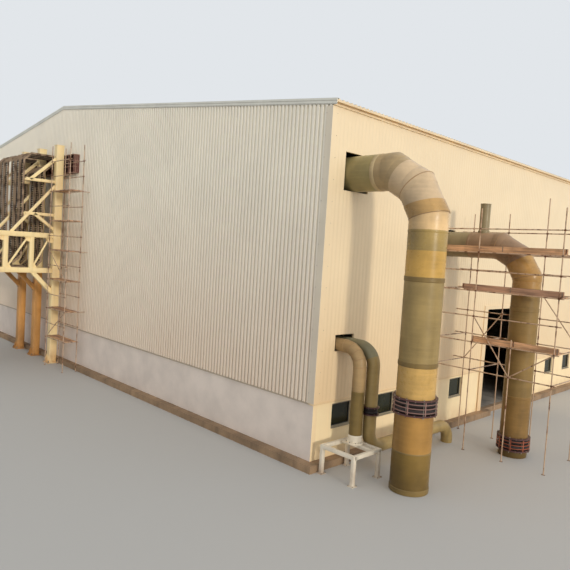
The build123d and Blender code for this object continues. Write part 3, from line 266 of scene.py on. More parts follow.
MATERIALS = (
    (painted, (
        # The long-side colours wall, eave and side plinth are warm sunlit copies of the cooler gable-side paint:
        # painted sunlight and shade.
        ("gable", (244, 236, 218), 0.42, 0.0, 0.012, (228, 204, 180), 6.0),
        # The gable grooves are darker, more so towards the bottom: painted shade.
        ("gable_groove", (232, 226, 208), 0.45, 0.0, 0.012, (140, 120, 98), 7.6),
        ("wall", (242, 219, 180), 0.42, 0.0, 0.012, (236, 200, 152), 4.0),
        ("roof", (206, 202, 190), 0.4, 0.04, 0.015), ("eave", (238, 212, 172), 0.42, 0.04, 0.03),
        # The hem and the soffit are lightened against the shade under the eave: painted light.
        ("hem", (246, 222, 184), 0.5, 0.04, 0.05), ("flashing", (220, 217, 206), 0.38, 0.04, 0.03),
        ("corner", (222, 210, 188), 0.42, 0.04, 0.03, (204, 188, 168), 5.0),
        # The verge grooves are darker: painted shade.
        ("verge", (224, 222, 210), 0.4, 0.03, 0.03), ("verge_groove", (204, 200, 188), 0.5, 0.03, 0.04),
        ("soffit", (255, 222, 172), 0.5, 0.02, 0.03), ("inside", (205, 200, 190), 0.5, 0.02, 0.03),
        ("side_plinth", (255, 228, 182), 0.6, 0.03, 0.02, (224, 188, 142), 0.5),
        ("white_steel", (226, 214, 192), 0.5, 0.1, 0.06, (150, 118, 92), 0.5),
        ("rack", (252, 222, 166), 0.45, 0.08, 0.04, (190, 144, 92), 0.7),
        ("rack_amber", (204, 148, 80), 0.5, 0.16, 0.08, (136, 92, 48), 1.2), ("frame", (104, 98, 96), 0.6, 0.1, 0.1),
        ("entry", (98, 58, 50), 0.55, 0.12, 0.12), ("gasket", (30, 30, 30), 0.7, 0.0, 0.1),
        ("sash", (158, 146, 122), 0.5, 0.06, 0.06), ("maroon", (84, 52, 50), 0.45, 0.12, 0.14),
        ("red_band", (150, 78, 52), 0.5, 0.12, 0.14), ("rubber", (40, 30, 28), 0.65, 0.08, 0.15),
        ("lug", (140, 106, 96), 0.5, 0.12, 0.1))),
    (shade_and_sun_tones, (
        # drip and plinth: the gable-side colour, then its warm sunlit copy for the long sides.
        ("drip", (176, 160, 138), (236, 206, 160), True), ("plinth", (224, 210, 197), (252, 224, 178), False, 0.6))),
    (laminate, (
        ("green", (166, 150, 100)), ("ring", (200, 176, 132)), ("tan", (178, 152, 110)),
        ("cream", (228, 190, 136), 0.3, 0.5), ("sand", (208, 180, 142)), ("amber", (194, 154, 96), 0.3, 0.3),
        ("ochre", (168, 140, 80), 0.28, 0.6), ("yellow", (208, 164, 84), 0.3, 0.3), ("olive", (164, 139, 88)),
        ("gold", (210, 168, 96), 0.28, 0.6), ("dark_band", (134, 110, 64), 0.38), ("seam", (166, 132, 92), 0.4),
        # foot, base, moss, straw and bronze end with the strength and height of the painted shade towards the ground.
        ("foot", (182, 136, 70), 0.36, 0.1, 0.45, 1.7), ("base", (136, 108, 52), 0.4, 0.08, 0.6, 1.1),
        ("grey_green", (150, 134, 100)), ("mauve", (158, 128, 98)), ("russet", (186, 144, 84), 0.3, 0.3),
        ("moss", (134, 111, 62), 0.4, 0.08, 0.5, 2.0), ("straw", (156, 120, 66), 0.38, 0.1, 0.5, 2.0),
        ("lichen", (142, 134, 102), 0.36, 0.2), ("beige", (172, 142, 98), 0.4, 0.1),
        ("bronze", (150, 121, 70), 0.42, 0.08, 0.4, 2.0))),
    (concrete, (("concrete", (156, 128, 98)), ("slab", (150, 140, 126)))),
    (rusty, (
        ("entry_edge", (170, 136, 116), (120, 72, 54), 0.35, 0.55, 0.3),
        ("bolt", (150, 140, 128), (120, 78, 48), 0.3, 0.45, 0.7),
        ("ladder", (156, 134, 110), (96, 70, 50), 0.35, 0.55, 0.25),
        # The rungs are near black: painted shade between the ladder rails.
        ("rung", (36, 28, 22), (38, 26, 18), 0.4, 0.65, 0.25),
        ("tube", (196, 166, 138), (150, 106, 74), 0.3, 0.5, 0.25),
        ("clamp", (134, 108, 88), (134, 84, 54), 0.6, 0.65, 0.3),
        ("hoop", (150, 130, 112), (126, 76, 50), 0.5, 0.5, 0.5))),
    (timber, (("board", (220, 171, 128)), ("old_board", (186, 144, 116)))),
    (glass, (("glass", (34, 38, 28)),)))
M = {}
for kind, rows in MATERIALS:
    for key, *values in rows:
        M[key] = bpy.data.materials.new(key)
        kind(Nodes(M[key]), *values)


# Mesh code

def circle(i, count, shift=0.0, radius=1.0):
    t = 2 * pi * (i + shift) / count
    return Vector((radius * cos(t), radius * sin(t), 0))


def frame_of(way):
    """The directions across and above a bar."""
    side = way.cross(UP)
    side = side.normalized() if side.length > 1e-6 * way.length else Vector((1, 0, 0))
    return side, side.cross(way.normalized())


def mitred_rings(points, radii, sides):
    """Rings of a round tube, each on its joint's mitre plane."""
    axes = [(b - a).normalized() for a, b in zip(points, points[1:])]
    side = axes[0].orthogonal().normalized()
    across = axes[0].cross(side)
    rings = []
    for point, radius, before, after in zip(points, radii, axes[:1] + axes, axes + axes[-1:]):
        normal = (before + after).normalized()
        ring = []
        for c, s, _ in (circle(j, sides, 0, radius) for j in range(sides)):
            offset = side * c + across * s
            ring.append(point + offset - before * (offset.dot(normal) / before.dot(normal)))
        rings.append(ring)
        turn = before.rotation_difference(after)
        side, across = turn @ side, turn @ across
    return rings


class Mesh:
    """Simple parts in one mesh. Round ones share an axis, a radius and a number of sides."""

    def __init__(self, x=0.0, y=0.0, r=0.0, sides=12):
        self.verts, self.faces, self.slots = [], [], []
        self.x, self.y, self.r, self.sides = x, y, r, sides

    def skin(self, rings, slots=0, around=False, capped=False):
        """Quads between neighbouring rings; around joins the last ring to the first."""
        base, n, count = len(self.verts), len(rings[0]), len(rings)
        self.verts += [tuple(point) for ring in rings for point in ring]
        for i in range(count if around else count - 1):
            a, b = base + i * n, base + (i + 1) % count * n
            self.faces += [(a + j, a + (j + 1) % n, b + (j + 1) % n, b + j) for j in range(n)]
            self.slots += [slots[i] if isinstance(slots, list) else slots] * n
        if capped:
            last = base + (count - 1) * n
            self.faces += [tuple(range(base, base + n))[::-1], tuple(range(last, last + n))]
            self.slots += [slots] * 2

    def prism(self, outline, way, slot=0):
        way, outline = Vector(way), [Vector(point) for point in outline]
        area = sum((a.cross(b) for a, b in zip(outline, outline[1:] + outline[:1])), Vector())
        if area.dot(way) < 0:
            outline.reverse()
        self.skin([outline, [point + way for point in outline]], slot, capped=True)

    def block(self, x0, x1, y0, y1, z0, z1, slot=0):
        """A box; a pair of sides may come in either order."""
        (x0, x1), (y0, y1), (z0, z1) = sorted((x0, x1)), sorted((y0, y1)), sorted((z0, z1))
        self.prism([(x0, y0, z0), (x1, y0, z0), (x1, y1, z0), (x0, y1, z0)], (0, 0, z1 - z0), slot)

    def slab(self, middle, half_x, half_y, low, high, slot=0):
        x, y = middle[:2]
        self.block(x - half_x, x + half_x, y - half_y, y + half_y, low, high, slot)

    def rod(self, start, way, radius, sides=12, slot=0):
        start, way = Vector(start), Vector(way)
        side, up = frame_of(way)
        ring = [circle(i, sides, 0, radius) for i in range(sides)]
        self.prism([start + side * a + up * b for a, b, _ in ring], way, slot)

    def strut(self, start, end, outline, slot=0, cuts=(None, None)):
        """A bar whose ends may be cut along planes, given by their normals."""
        start, end = Vector(start), Vector(end)
        axis = (end - start).normalized()
        side, up = frame_of(axis)
        rings = []
        for point, cut in zip((start, end), cuts):
            offsets = [side * a + up * b for a, b in outline]
            if cut:
                offsets = [o - axis * (o.dot(Vector(cut)) / axis.dot(Vector(cut))) for o in offsets]
            rings.append([point + offset for offset in offsets])
        self.skin(rings, slot, capped=True)

    def lathe(self, profile, slot=0):
        """A closed loop of (lift from the radius, height) pairs turned round the axis."""
        self.skin([[Vector((self.x, self.y, z)) + circle(j, self.sides, 0, self.r + lift)
            for j in range(self.sides)] for lift, z in profile], slot, around=True)

    def hoop(self, inner, outer, low, high, slot=0):
        self.lathe([(inner, low), (outer, low), (outer, high), (inner, high)], slot)

    def wound(self, low, high, slot, bulge=None, edge=0.01, lip=0.0, wall=PIPE_WALL):
        """An upright stretch of pipe, which may swell between its edges."""
        swell = [] if bulge is None else [(bulge, low + edge), (bulge, high - edge)]
        self.lathe([(-wall, low), (lip, low), *swell, (lip, high), (-wall, high)], slot)

    def studs(self, count, shift, lift, z, height, radius, slot, sides=6):
        for i in range(count):
            foot = Vector((self.x, self.y, z)) + circle(i, count, shift, self.r + lift)
            self.rod(foot, UP * height, radius, sides, slot)

    def tube(self, points, slots, wall=PIPE_WALL, lifts=None):
        """A hollow tube; slots has one for each stretch."""
        radii = [self.r + lift for lift in lifts or [0] * len(points)]
        outer = mitred_rings(points, radii, self.sides)
        inner = mitred_rings(points, [radius - wall for radius in radii], self.sides)
        self.skin(outer + inner[::-1], [*slots, slots[-1], *slots[::-1], slots[0]], around=True)

    def collar(self, start, end, z, lift, slot):
        points = [Vector((x, self.y, z)) for x in (start, start + 0.01, end - 0.01, end)]
        self.tube(points, [slot] * 3, lift, (0.001, lift, lift, 0.001))

    def sleeve(self, points, length, slot, thick=0.007):
        """A joint band over the middle point's mitre, feathered at its edges."""
        joint = points[1]
        back, on = (points[0] - joint).normalized(), (points[2] - joint).normalized()
        stations = [joint + way * reach for way, reach in (
            (back, length), (back, length - 0.015), (back, 0), (on, length - 0.015), (on, length))]
        self.tube(stations, [slot] * 4, thick + 0.002, (0.001, thick, thick, thick, 0.001))

    def mitre_band(self, points, back, on, slot, thick=0.007):
        """A joint band with edges parallel to the middle point's mitre."""
        joint = points[1]
        shifts = [(points[0] - joint).normalized() * back, Vector(), (points[2] - joint).normalized() * on]
        outer, inner = (mitred_rings(points, [self.r + lift] * 3, self.sides)[1] for lift in (thick, -0.001))
        rings = [[p + shift for p in outer] for shift in shifts]
        self.skin(rings + [[p + shift for p in inner] for shift in shifts[::-1]], slot, around=True)

    def seam(self, points, lift, thick, slot):
        """A weld line in the middle point's mitre plane."""
        joint = points[1]
        ring = mitred_rings(points, [self.r + lift] * 3, self.sides)[1]
        rim = ((joint - points[0]).normalized() + (points[2] - joint).normalized()).normalized() * thick * 1.6
        self.skin([[p + (p - joint).normalized() * out + rim * on for p in ring]
            for out, on in ((thick, 0), (0, 1), (-thick, 0), (0, -1))], slot, around=True)


def link(name, data):
    obj = bpy.data.objects.new(name, data)
    bpy.context.scene.collection.objects.link(obj)
    return obj


def piece(name, mesh, materials, slot, node=None, angle=28):
    data = bpy.data.meshes.new(name)
    data.from_pydata(mesh.verts, [], mesh.faces)
    for key in materials:
        data.materials.append(M[key])
    data.polygons.foreach_set("material_index", mesh.slots)
    obj = link(name, data)
    tidy = bmesh.new()
    tidy.from_mesh(data)
    bmesh.ops.remove_doubles(tidy, verts=tidy.verts, dist=1e-5)
    bmesh.ops.recalc_face_normals(tidy, faces=tidy.faces)
    for face in tidy.faces:
        face.smooth = True
    tidy.to_mesh(data)
    tidy.free()
    data.set_sharp_from_angle(angle=radians(angle))
    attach(obj, "root")
    if node:
        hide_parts(node)


def part(name, materials, slot, node=None, axis=(), angle=28):
    """Fill a mesh with the function below and make the piece."""
    def run(fill):
        mesh = Mesh(*axis)
        fill(mesh)
        piece(name, mesh, materials, slot, node, angle)
    return run


# Camera, light and floor

turn = Vector((1.50763422, 0.693204746, -0.563879437))
to_world = Matrix.Rotation(-turn.length, 3, turn.normalized()) @ Matrix.Diagonal((1, -1, -1))
data = bpy.data.cameras.new("camera")
data.sensor_fit = "HORIZONTAL"
data.sensor_width = 36
data.lens = 36 * 574.363866 / 570
data.clip_end = 2000
camera = link("camera", data)
camera.matrix_world = Matrix.Translation((19.7439, -17.55826, 4.23343)) @ to_world.to_4x4()
bpy.context.scene.camera = camera

# A soft world, plain in the picture and in reflections, and a low sun
scene = bpy.context.scene
scene.view_settings.view_transform = "Standard"
scene.world = bpy.data.worlds.new("studio")
n = Nodes(scene.world, "Background", "Generated")
strength = n.span(n.along(0), -1, 1, FILL * (1 - FILL_TILT), FILL * (1 + FILL_TILT))
n.feed(n.shader, {"Color": (0.93, 0.96, 1.0, 1), "Strength": strength})
seen, mirrored = (n.make("LightPath", {}, kind) for kind in ("Is Camera Ray", "Is Glossy Ray"))
n.surface(n.make("Math", {0: seen, 1: mirrored}, operation="MAXIMUM"), n.shader.outputs[0],
    n.make("Background", {"Color": linear(SKY)}), "World Output")
key = bpy.data.lights.new("key", "SUN")
key.energy = SUN
key.angle = radians(7)
key.color = (1.0, 0.93, 0.82)
lamp = link("key", key)
lamp.rotation_mode = "QUATERNION"
lamp.rotation_quaternion = Vector((-1, 0.18, -0.17)).to_track_quat("-Z", "Y")

# A pale floor that fades into the background
data = bpy.data.meshes.new("floor")
data.from_pydata([(600 * x, 600 * y, 0) for x, y in ((-1, -1), (1, -1), (1, 1), (-1, 1))], [], [(0, 1, 2, 3)])
material = bpy.data.materials.new("floor")
data.materials.append(material)
n = Nodes(material)
n.feed(n.shader, {"Base Color": linear((190, 187, 181)), "Roughness": 0.9})
far = n.make("VectorMath", {0: n.coords}, "Value", operation="LENGTH")
fade = n.times(n.span(far, 35, 160), n.make("LightPath", {}, "Is Camera Ray"))
n.surface(fade, n.shader.outputs[0], n.make("Emission", {"Color": linear(SKY)}), "Material Output")
floor = link("floor", data)

for key, nodes in (("concrete", "ground_beam"), ("slab", "floor_slab"), ("plinth", "gable_plinth_walls"),
        ("side_plinth", "left_plinth_wall right_plinth_wall_near right_plinth_wall_far"),
        ("flashing", "ridge_cap"), ("drip", "plinth_drips"), ("wall", "doorway_trim"), ("glass", "window_glass"),
        ("frame", "portal_columns right_rafters left_rafters gable_posts purlins wall_girts gable_girts")):
    for node in nodes.split():
        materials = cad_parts[node].data.materials
        materials.clear()
        materials.append(M[key])


# Ribbed sheets

def rib_line(start, end, pitch, depth, crest, slope):
    """Places and depths of a trapezoid profile with whole ribs."""
    count = round((end - start) / pitch)
    step = (end - start) / count
    low = (1 - crest - 2 * slope) / 2
    rib = ((0, depth), (low, depth), (low + slope, 0), (low + slope + crest, 0), (1 - low, depth))
    return [(start + (i + share) * step, d) for i in range(count) for share, d in rib] + [(end, depth)]


def depth_at(line, u):
    for (a, da), (b, db) in zip(line, line[1:]):
        if a <= u <= b:
            return da + (db - da) * (u - a) / max(b - a, 1e-9)


def ribbed(name, line, rows, place, thick, materials, slot, node, holes=(), groove=0):
    """A sheet, ribbed outside, flat inside and open at the holes, on a grid of the line's places and rows.

    place gives a point at a depth below the crests; groove is the slot of the strips between ribs, which on the
    gables holds painted shade.
    """
    us = dict(line)
    for u in (u for hole in holes for u in hole[:2]):
        us.setdefault(u, depth_at(line, u))
    columns = sorted(us)
    mesh = Mesh()

    def quad(slot, *corners):
        base = len(mesh.verts)
        mesh.verts += [place(u, row, thick if face else us[u]) for face, u, row in corners]
        mesh.faces.append(tuple(range(base, base + 4)))
        mesh.slots.append(slot)

    def solid(i, j):
        u, v = sum(columns[i:i + 2]) / 2, sum(rows[j:j + 2]) / 2
        return not any(u0 < u < u1 and v0 < v < v1 for u0, u1, v0, v1 in holes)

    cells = {cell for cell in product(range(len(columns) - 1), range(len(rows) - 1)) if solid(*cell)}
    edge_slot = len(materials) - 1 if len(materials) > 2 else 0
    for i, j in cells:
        a, b, c, d = columns[i], columns[i + 1], rows[j], rows[j + 1]
        quad(groove if us[a] > 0 and us[b] > 0 else 0, (0, a, c), (0, b, c), (0, b, d), (0, a, d))
        quad(1, (1, a, d), (1, b, d), (1, b, c), (1, a, c))
        for near, p, q in (((i, j - 1), (a, c), (b, c)), ((i + 1, j), (b, c), (b, d)),
                ((i, j + 1), (b, d), (a, d)), ((i - 1, j), (a, d), (a, c))):
            if near not in cells:
                quad(edge_slot, (0, *q), (0, *p), (1, *p), (1, *q))
    piece(name, mesh, materials, slot, node, angle=20)


def roof_under(x):
    return RIDGE - SLOPE * abs(x) - ROOF_THICKNESS


for side, end in ((-1, "front"), (1, "rear")):

    def place(u, row, depth):
        return u, side * (WALL_Y - depth), PLINTH_TOP + (roof_under(u) - PLINTH_TOP) * row

    ribbed(end + "_ribbed_cladding", rib_line(-WALL_X, WALL_X, *GABLE_RIBS), (0, 1), place, CLADDING,
        ("gable", "inside", "gable_groove", "gable"), "cladding", end + "_cladding", groove=2)

end = WALL_Y - CLADDING
door_start, door_end = FRONT + DOOR[0], FRONT + DOOR[1]
top, top_inside = roof_under(WALL_X), roof_under(WALL_X - CLADDING)
holes = [(FRONT + a, FRONT + b, c, d) for a, b, c, d in PIPE_HOLES]
for name, side, start, stop, low, node, openings in (("left", -1, -end, end, PLINTH_TOP, "left_cladding", []),
        ("right_near", 1, -end, door_start, PLINTH_TOP, "right_cladding_near", holes),
        ("right_door", 1, door_start, door_end, DOOR[2], "right_cladding_over_door", []),
        ("right_far", 1, door_end, end, PLINTH_TOP, "right_cladding_far", [])):
    rows = sorted({low, top} | {z for hole in openings for z in hole[2:]})

    def place(u, row, depth):
        return side * (WALL_X - depth), u, top_inside if (row, depth) == (top, CLADDING) else row

    ribbed(name + "_ribbed_cladding", rib_line(start, stop, *WALL_RIBS), rows, place, CLADDING,
        ("wall", "inside"), "cladding", node, openings)

for side, name in ((1, "right"), (-1, "left")):

    def place(u, row, depth):
        return side * row, u, RIDGE - SLOPE * row - depth

    ribbed(name + "_ribbed_roof", rib_line(-WALL_Y, WALL_Y, *ROOF_RIBS), (0, ROOF_EDGE), place,
        ROOF_THICKNESS, ("roof", "soffit", "eave"), "roof_sheet", "roof_" + name)


# Windows and trims

@part("glazed_window_frames", ("sash", "gasket"), "white_trim", "window_frames")
def windows(mesh):
    width, height, z0 = WINDOW
    z1 = z0 + height
    clear = width / 2 + 0.175
    back, drip = PLINTH_X - 0.032, PLINTH_X + 0.018
    for side, place in product(BOTH, WINDOW_PLACES):
        if side > 0 and DOOR[0] - clear <= place <= DOOR[1] + clear:
            continue
        y0, y1 = FRONT + place - width / 2, FRONT + place + width / 2
        for reach, inset, bar, slot in ((0.03, 0.0, 0.03, 0), (0.018, 0.03, 0.012, 1)):
            a, b, c, d = y0 + inset, y1 - inset, z0 + inset, z1 - inset
            xs = [side * (PLINTH_X - 0.0625) + offset for offset in (-reach, reach)]
            for box in ((a, b, c, c + bar), (a, b, d - bar, d), (a, a + bar, c + bar, d - bar),
                    (b - bar, b, c + bar, d - bar)):
                mesh.block(*xs, *box, slot)
        sill = ((back, 0.012), (drip, 0.004), (drip, -0.008), (PLINTH_X, -0.001), (back, 0.0005))
        mesh.prism([(side * x, y0, z0 + rise) for x, rise in sill], (0, width, 0))


def screw_line(mesh, start, end, pitch, out, size):
    start, end, out = Vector(start), Vector(end), Vector(out)
    count = max(1, int((end - start).length / pitch))
    for i in range(count + 1):
        mesh.rod(start.lerp(end, i / count), out * size * 0.7, size, 6)


@part("flashing_screws", ("bolt",), "flashing")
def trim_details(mesh):
    low, high = PLINTH_TOP + 0.2, roof_under(WALL_X) - 0.2
    for sy, sx in CORNERS:
        y = sy * (WALL_Y + 0.0121)
        x = sx * (ROOF_EDGE - 0.1)
        screw_line(mesh, (x, y, RIDGE - SLOPE * abs(x) - 0.09), (0, y, RIDGE - 0.09), 0.45, (0, -sy, 0), 0.004)
        for x, y, out in ((sx * (WALL_X - 0.14), sy * (WALL_Y + 0.006), (0, sy, 0)),
                (sx * (WALL_X + 0.006), sy * (WALL_Y - 0.14), (sx, 0, 0))):
            screw_line(mesh, (x, y, low), (x, y, high), 0.4, out, 0.006)


# Pipes

def bend_points(axis, z, leg):
    """The header, a bend in three mitres, and the riser's head."""
    x, y = axis[:2]
    run = leg * (cos(radians(30)) + cos(radians(60)))
    return [Vector((px, y, pz)) for px, pz in (
        (PIPE_START, z), (x - run, z), (x - leg / 2, z - leg / 2), (x, z - run), (x, z - run - 0.116))]


LARGE_BEND = bend_points(LARGE, LARGE_Z, 0.6)
SECOND_BEND = bend_points(SECOND, SECOND_Z, 0.49)


@part("large_pipe_mitred_bend", ("green", "ring", "tan", "sand", "amber", "seam", "cream"), "pipe_laminate",
    "large_pipe_bend", LARGE)
def large_bend(mesh):
    start, first, second, third, foot = LARGE_BEND
    route = [start, Vector((12.95, mesh.y, LARGE_Z)), first, first.lerp(second, 0.36), second, third, foot]
    mesh.tube(route, [0, 2, 2, 3, 3, 6])
    mesh.sleeve(LARGE_BEND[:3], 0.1, 2)
    mesh.sleeve(LARGE_BEND[1:4], 0.1, 3)
    mesh.mitre_band(LARGE_BEND[2:], 0.235, 0.02, 4)
    mesh.seam(LARGE_BEND[1:4], 0.007, 0.006, 5)
    mesh.seam([point - UP * 0.02 for point in LARGE_BEND[2:]], 0.004, 0.006, 5)
    mesh.collar(12.9, 12.99, LARGE_Z, 0.006, 1)


def build_wound(name, materials, node, axis, rows):
    mesh = Mesh(*axis)
    for row in rows:
        mesh.wound(*row)
    piece(name, mesh, materials, "pipe_laminate", node)


BAND = (0.008, 0.012, 0.001)
build_wound("large_pipe_wound_riser", ("ochre", "olive", "gold", "dark_band", "cream", "yellow"),
    "large_pipe_riser", LARGE, (
    (1.75, 2.31, 2), (2.31, 2.4, 3, *BAND), (2.4, 3.84, 1), (3.84, 3.93, 3, *BAND), (3.93, 4.4, 5),
    (4.4, 4.74, 0), (4.74, LARGE_BEND[-1].z, 4), (4.72, 4.77, 0, 0.005, 0.01, 0.001, 0.005)))


def build_coupling(name, axis, bottom, node, ring):
    """Bellows between bolted flanges, with backing rings, lugs and tie rods."""
    plate, steps = 0.025, 24
    top = bottom + 0.3
    mesh = Mesh(*axis[:3], 72)
    for low in (bottom, top - plate):
        mesh.hoop(-PIPE_WALL, 0.055, low, low + plate)
    swells = [(0.04 * abs(sin(2 * pi * i / steps)) ** 0.7 - 0.004, bottom + plate + 0.25 * i / steps)
        for i in range(steps + 1)]
    mesh.lathe([(-PIPE_WALL, bottom + plate), *swells, (-PIPE_WALL, top - plate)], 1)
    for z in (0.075, 0.15, 0.225):
        mesh.hoop(0.03, 0.052, bottom + z - 0.007, bottom + z + 0.007, 2)
    mesh.studs(8, 0.25, 0.042, bottom - 0.03, 0.36, 0.0075, 3, 10)
    for z in (-0.012, 0.3):
        mesh.studs(8, 0.25, 0.042, bottom + z, 0.012, 0.0155, 3)
    for z in (-0.01, plate, 0.265, 0.3):
        mesh.studs(8, 0.75, 0.042, bottom + z, 0.01, 0.011, 3)
    for i in range(8):
        out = circle(i, 8, 0.35)
        along = UP.cross(out) * 0.011
        spot = Vector((mesh.x, mesh.y, bottom + 0.03)) + out * (mesh.r + 0.052)
        mesh.prism([spot + along * a + out * b for a, b in ((-1, -0.004), (1, -0.004), (1, 0.003), (-1, 0.003))],
            UP * 0.24, 2)
    piece(name, mesh, ("maroon", "rubber", ring, "bolt"), "coupling_steel", node)


build_coupling("large_pipe_bellows", LARGE, 1.45, "large_pipe_coupling", "lug")


build_wound("large_pipe_base", ("base", "dark_band", "foot"), "large_pipe_base_spool", LARGE, (
    (0, 0.1, 1, 0.008, 0.008), (0.1, 0.74, 0, 0, 0.008), (0.74, 0.77, 1, 0.004, 0.008), (0.77, 1.45, 2, 0, 0.008)))


@part("second_pipe_mitred_bend", ("grey_green", "mauve", "mauve", "russet", "seam"), "pipe_laminate",
    "second_pipe_bend", SECOND)
def second_bend(mesh):
    z = SECOND_Z
    mesh.tube([SECOND_BEND[0], Vector((13.0, mesh.y, z)), *SECOND_BEND[1:]], [0, 1, 2, 3, 3])
    for i in (1, 2, 3):
        mesh.sleeve(SECOND_BEND[i - 1:i + 2], 0.09, i)
        mesh.seam(SECOND_BEND[i - 1:i + 2], 0.007, 0.005, 4)
    mesh.collar(12.97, 13.03, z, 0.006, 1)
    low, high = z + mesh.r * 0.8, z + mesh.r + 0.03
    # The vent on the header
    mesh.x, mesh.r, mesh.sides = WALL_X + 0.92, 0.115, SMALL_SIDES
    mesh.lathe([(-0.008, low), (0.015, low), (0.015, high), (0, high + 0.02), (0, 5.6), (0.004, 5.605),
        (0.004, 5.625), (-0.008, 5.625)])


SECOND_HEAD = SECOND_BEND[-1].z
SECOND_RING = SECOND_HEAD - 0.64
build_wound("second_pipe_wound_riser", ("straw", "bronze", "russet"), "second_pipe_riser", SECOND, (
    (0.45, 1.3, 0, 0), (1.3, 1.36, 0, 0.008), (1.36, SECOND_RING, 1, 0), (SECOND_RING, SECOND_RING + 0.09, 1, 0.008),
    (SECOND_RING + 0.09, SECOND_HEAD - 0.12, 1, 0), (SECOND_HEAD - 0.12, SECOND_HEAD, 2, 0)))
build_coupling("second_pipe_bellows", SECOND, 0.15, "second_pipe_coupling", "red_band")
build_wound("second_pipe_base", ("base",), "second_pipe_base_spool", SECOND, [(0, 0.15, 0, 0.003, 0.02)])


def smooth_route(corners, steps, radius=0.36):
    """A route with its square corners turned into arcs."""
    corners = [Vector(corner) for corner in corners]
    points = corners[:1]
    for before, corner, after in zip(corners, corners[1:], corners[2:]):
        inward, onward = (corner - before).normalized() * radius, (after - corner).normalized() * radius
        for t in (pi / 2 * i / steps for i in range(steps + 1)):
            points.append(corner - inward * (1 - sin(t)) + onward * (1 - cos(t)))
    return points + corners[-1:]


@part("front_small_pipe_mitred", ("moss", "beige", "beige", "white_steel", "bolt", "seam"), "pipe_laminate",
    "front_small_pipe", FRONT_SMALL, angle=18)
def front_small_pipe(mesh):
    x, y, top, flange = mesh.x, mesh.y, 0.6, 0.582
    route = smooth_route([(PIPE_START, y, SMALL_Z), (x, y, SMALL_Z), (x, y, flange)], 4)
    route[-1:] = [Vector((x, y, z)) for z in (1.9, 1.6, flange)]
    mesh.tube(route, [1] * (len(route) - 3) + [2, 0], SMALL_WALL)
    for i in range(1, 6):
        mesh.seam(route[i - 1:i + 2], 0, 0.004, 5)
    mesh.hoop(-SMALL_WALL, 0.045, flange, top, 3)
    mesh.lathe([(-0.005, top), (0.012, top), (0.012, 0.72), (0.001, 0.74), (-0.005, 0.74)], 3)
    for i in range(8):
        out = circle(i, 8, 0.5)
        side = UP.cross(out) * 0.003
        inner = Vector((x, y, top)) + out * 0.14 - side
        mesh.prism([inner, inner + out * 0.032, inner + UP * 0.09], side * 2, 3)
    mesh.studs(8, 0, 0.028, top, 0.014, 0.009, 4)
    mesh.collar(x - 0.43, x - 0.36, SMALL_Z, 0.005, 1)


@part("rear_small_pipe_smooth", ("olive", "lichen", "maroon", "bolt"), "pipe_laminate", "rear_small_pipe", REAR_SMALL)
def rear_small_pipe(mesh):
    x, y, end, low = mesh.x, mesh.y, FRONT + 4.0, 0.43
    route = smooth_route([(PIPE_START, y, SMALL_Z), (x, y, SMALL_Z), (x, y, low), (x, end, low), (x, end, 0)], 10)
    mesh.tube(route, [1] * 8 + [0] * (len(route) - 9), SMALL_WALL)
    for z in (1.132, 1.27):
        mesh.hoop(-SMALL_WALL, 0.045, z, z + 0.018, 2)
        mesh.studs(8, 0.5, 0.025, z - 0.012, 0.042, 0.009, 3)


@part("small_pipe_bellows", ("rubber",), "coupling_rubber", "small_pipe_coupling", REAR_SMALL)
def small_bellows(mesh):
    folds = [(0.004 + 0.016 * abs(sin(pi * i / 6)), 1.15 + 0.01 * i) for i in range(13)]
    mesh.lathe([(0, 1.15), *folds, (0, 1.27)])


@part("verge_flashings", ("verge", "verge_groove"), "flashing", "verge_trims")
def verges(mesh):
    """A cap over the roof's edge and two pale bands with darker grooves of painted shade."""
    folds = [([(-0.07, 0), (-0.07, 0.006), (0.012, 0.006), (0.012, -0.036), (0, -0.036), (0, 0)], 0)]
    for high, low, out, slot in ((-0.036, -0.054, 0.004, 1), (-0.054, -0.094, 0.012, 0), (-0.094, -0.115, 0.005, 1)):
        folds.append(([(0, high), (out, high), (out, low), (0, low)], slot))
    for (side, way), (fold, slot) in product(CORNERS, folds):
        mesh.prism([(0, side * (WALL_Y + out), RIDGE + rise) for out, rise in fold],
            (way * ROOF_EDGE, 0, -SLOPE * ROOF_EDGE), slot)


@part("eave_flashings", ("eave", "hem"), "flashing", "eave_trims")
def eaves(mesh):
    outer, end = WALL_X + 0.03, WALL_Y - 0.006
    low = roof_under(outer) - 0.06
    hem = low + 0.012
    folds = ([(WALL_X, roof_under(WALL_X)), (outer - 0.004, low + 0.06), (outer - 0.004, hem), (WALL_X, hem)],
        [(WALL_X, hem), (outer, hem), (outer, low), (WALL_X, low)])
    for side, (slot, fold) in product(BOTH, enumerate(folds)):
        mesh.prism([(side * x, -end, z) for x, z in fold], (0, 2 * end, 0), slot)


@part("corner_flashings", ("corner", "wall"), "flashing", "corner_trims")
def corners(mesh):
    leg, thick = 0.16, 0.006
    heights = (PLINTH_TOP, roof_under(WALL_X + 0.03) - 0.066)
    # The gable leg takes the cooler gable-side colour and the wall leg the warm sunlit wall colour: painted shade and
    # sunlight.
    for sx, sy in CORNERS:
        mesh.block(sx * (WALL_X - leg), sx * (WALL_X + thick), sy * WALL_Y, sy * (WALL_Y + thick), *heights, 0)
        mesh.block(sx * WALL_X, sx * (WALL_X + thick), sy * WALL_Y, sy * (WALL_Y - leg), *heights, 1)


# Cable rack

def hollow_section(size):
    half, corner = size / 2 - size * 0.1, size * 0.1
    outline = []
    for i, (sx, sy) in enumerate(((1, 1), (-1, 1), (-1, -1), (1, -1))):
        for t in (pi / 2 * (i + j / 2) for j in range(3)):
            outline.append((sx * half + corner * cos(t), sy * half + corner * sin(t)))
    return outline


def at_reach(x, reach, z):
    return Vector((x, FRONT - reach, z))


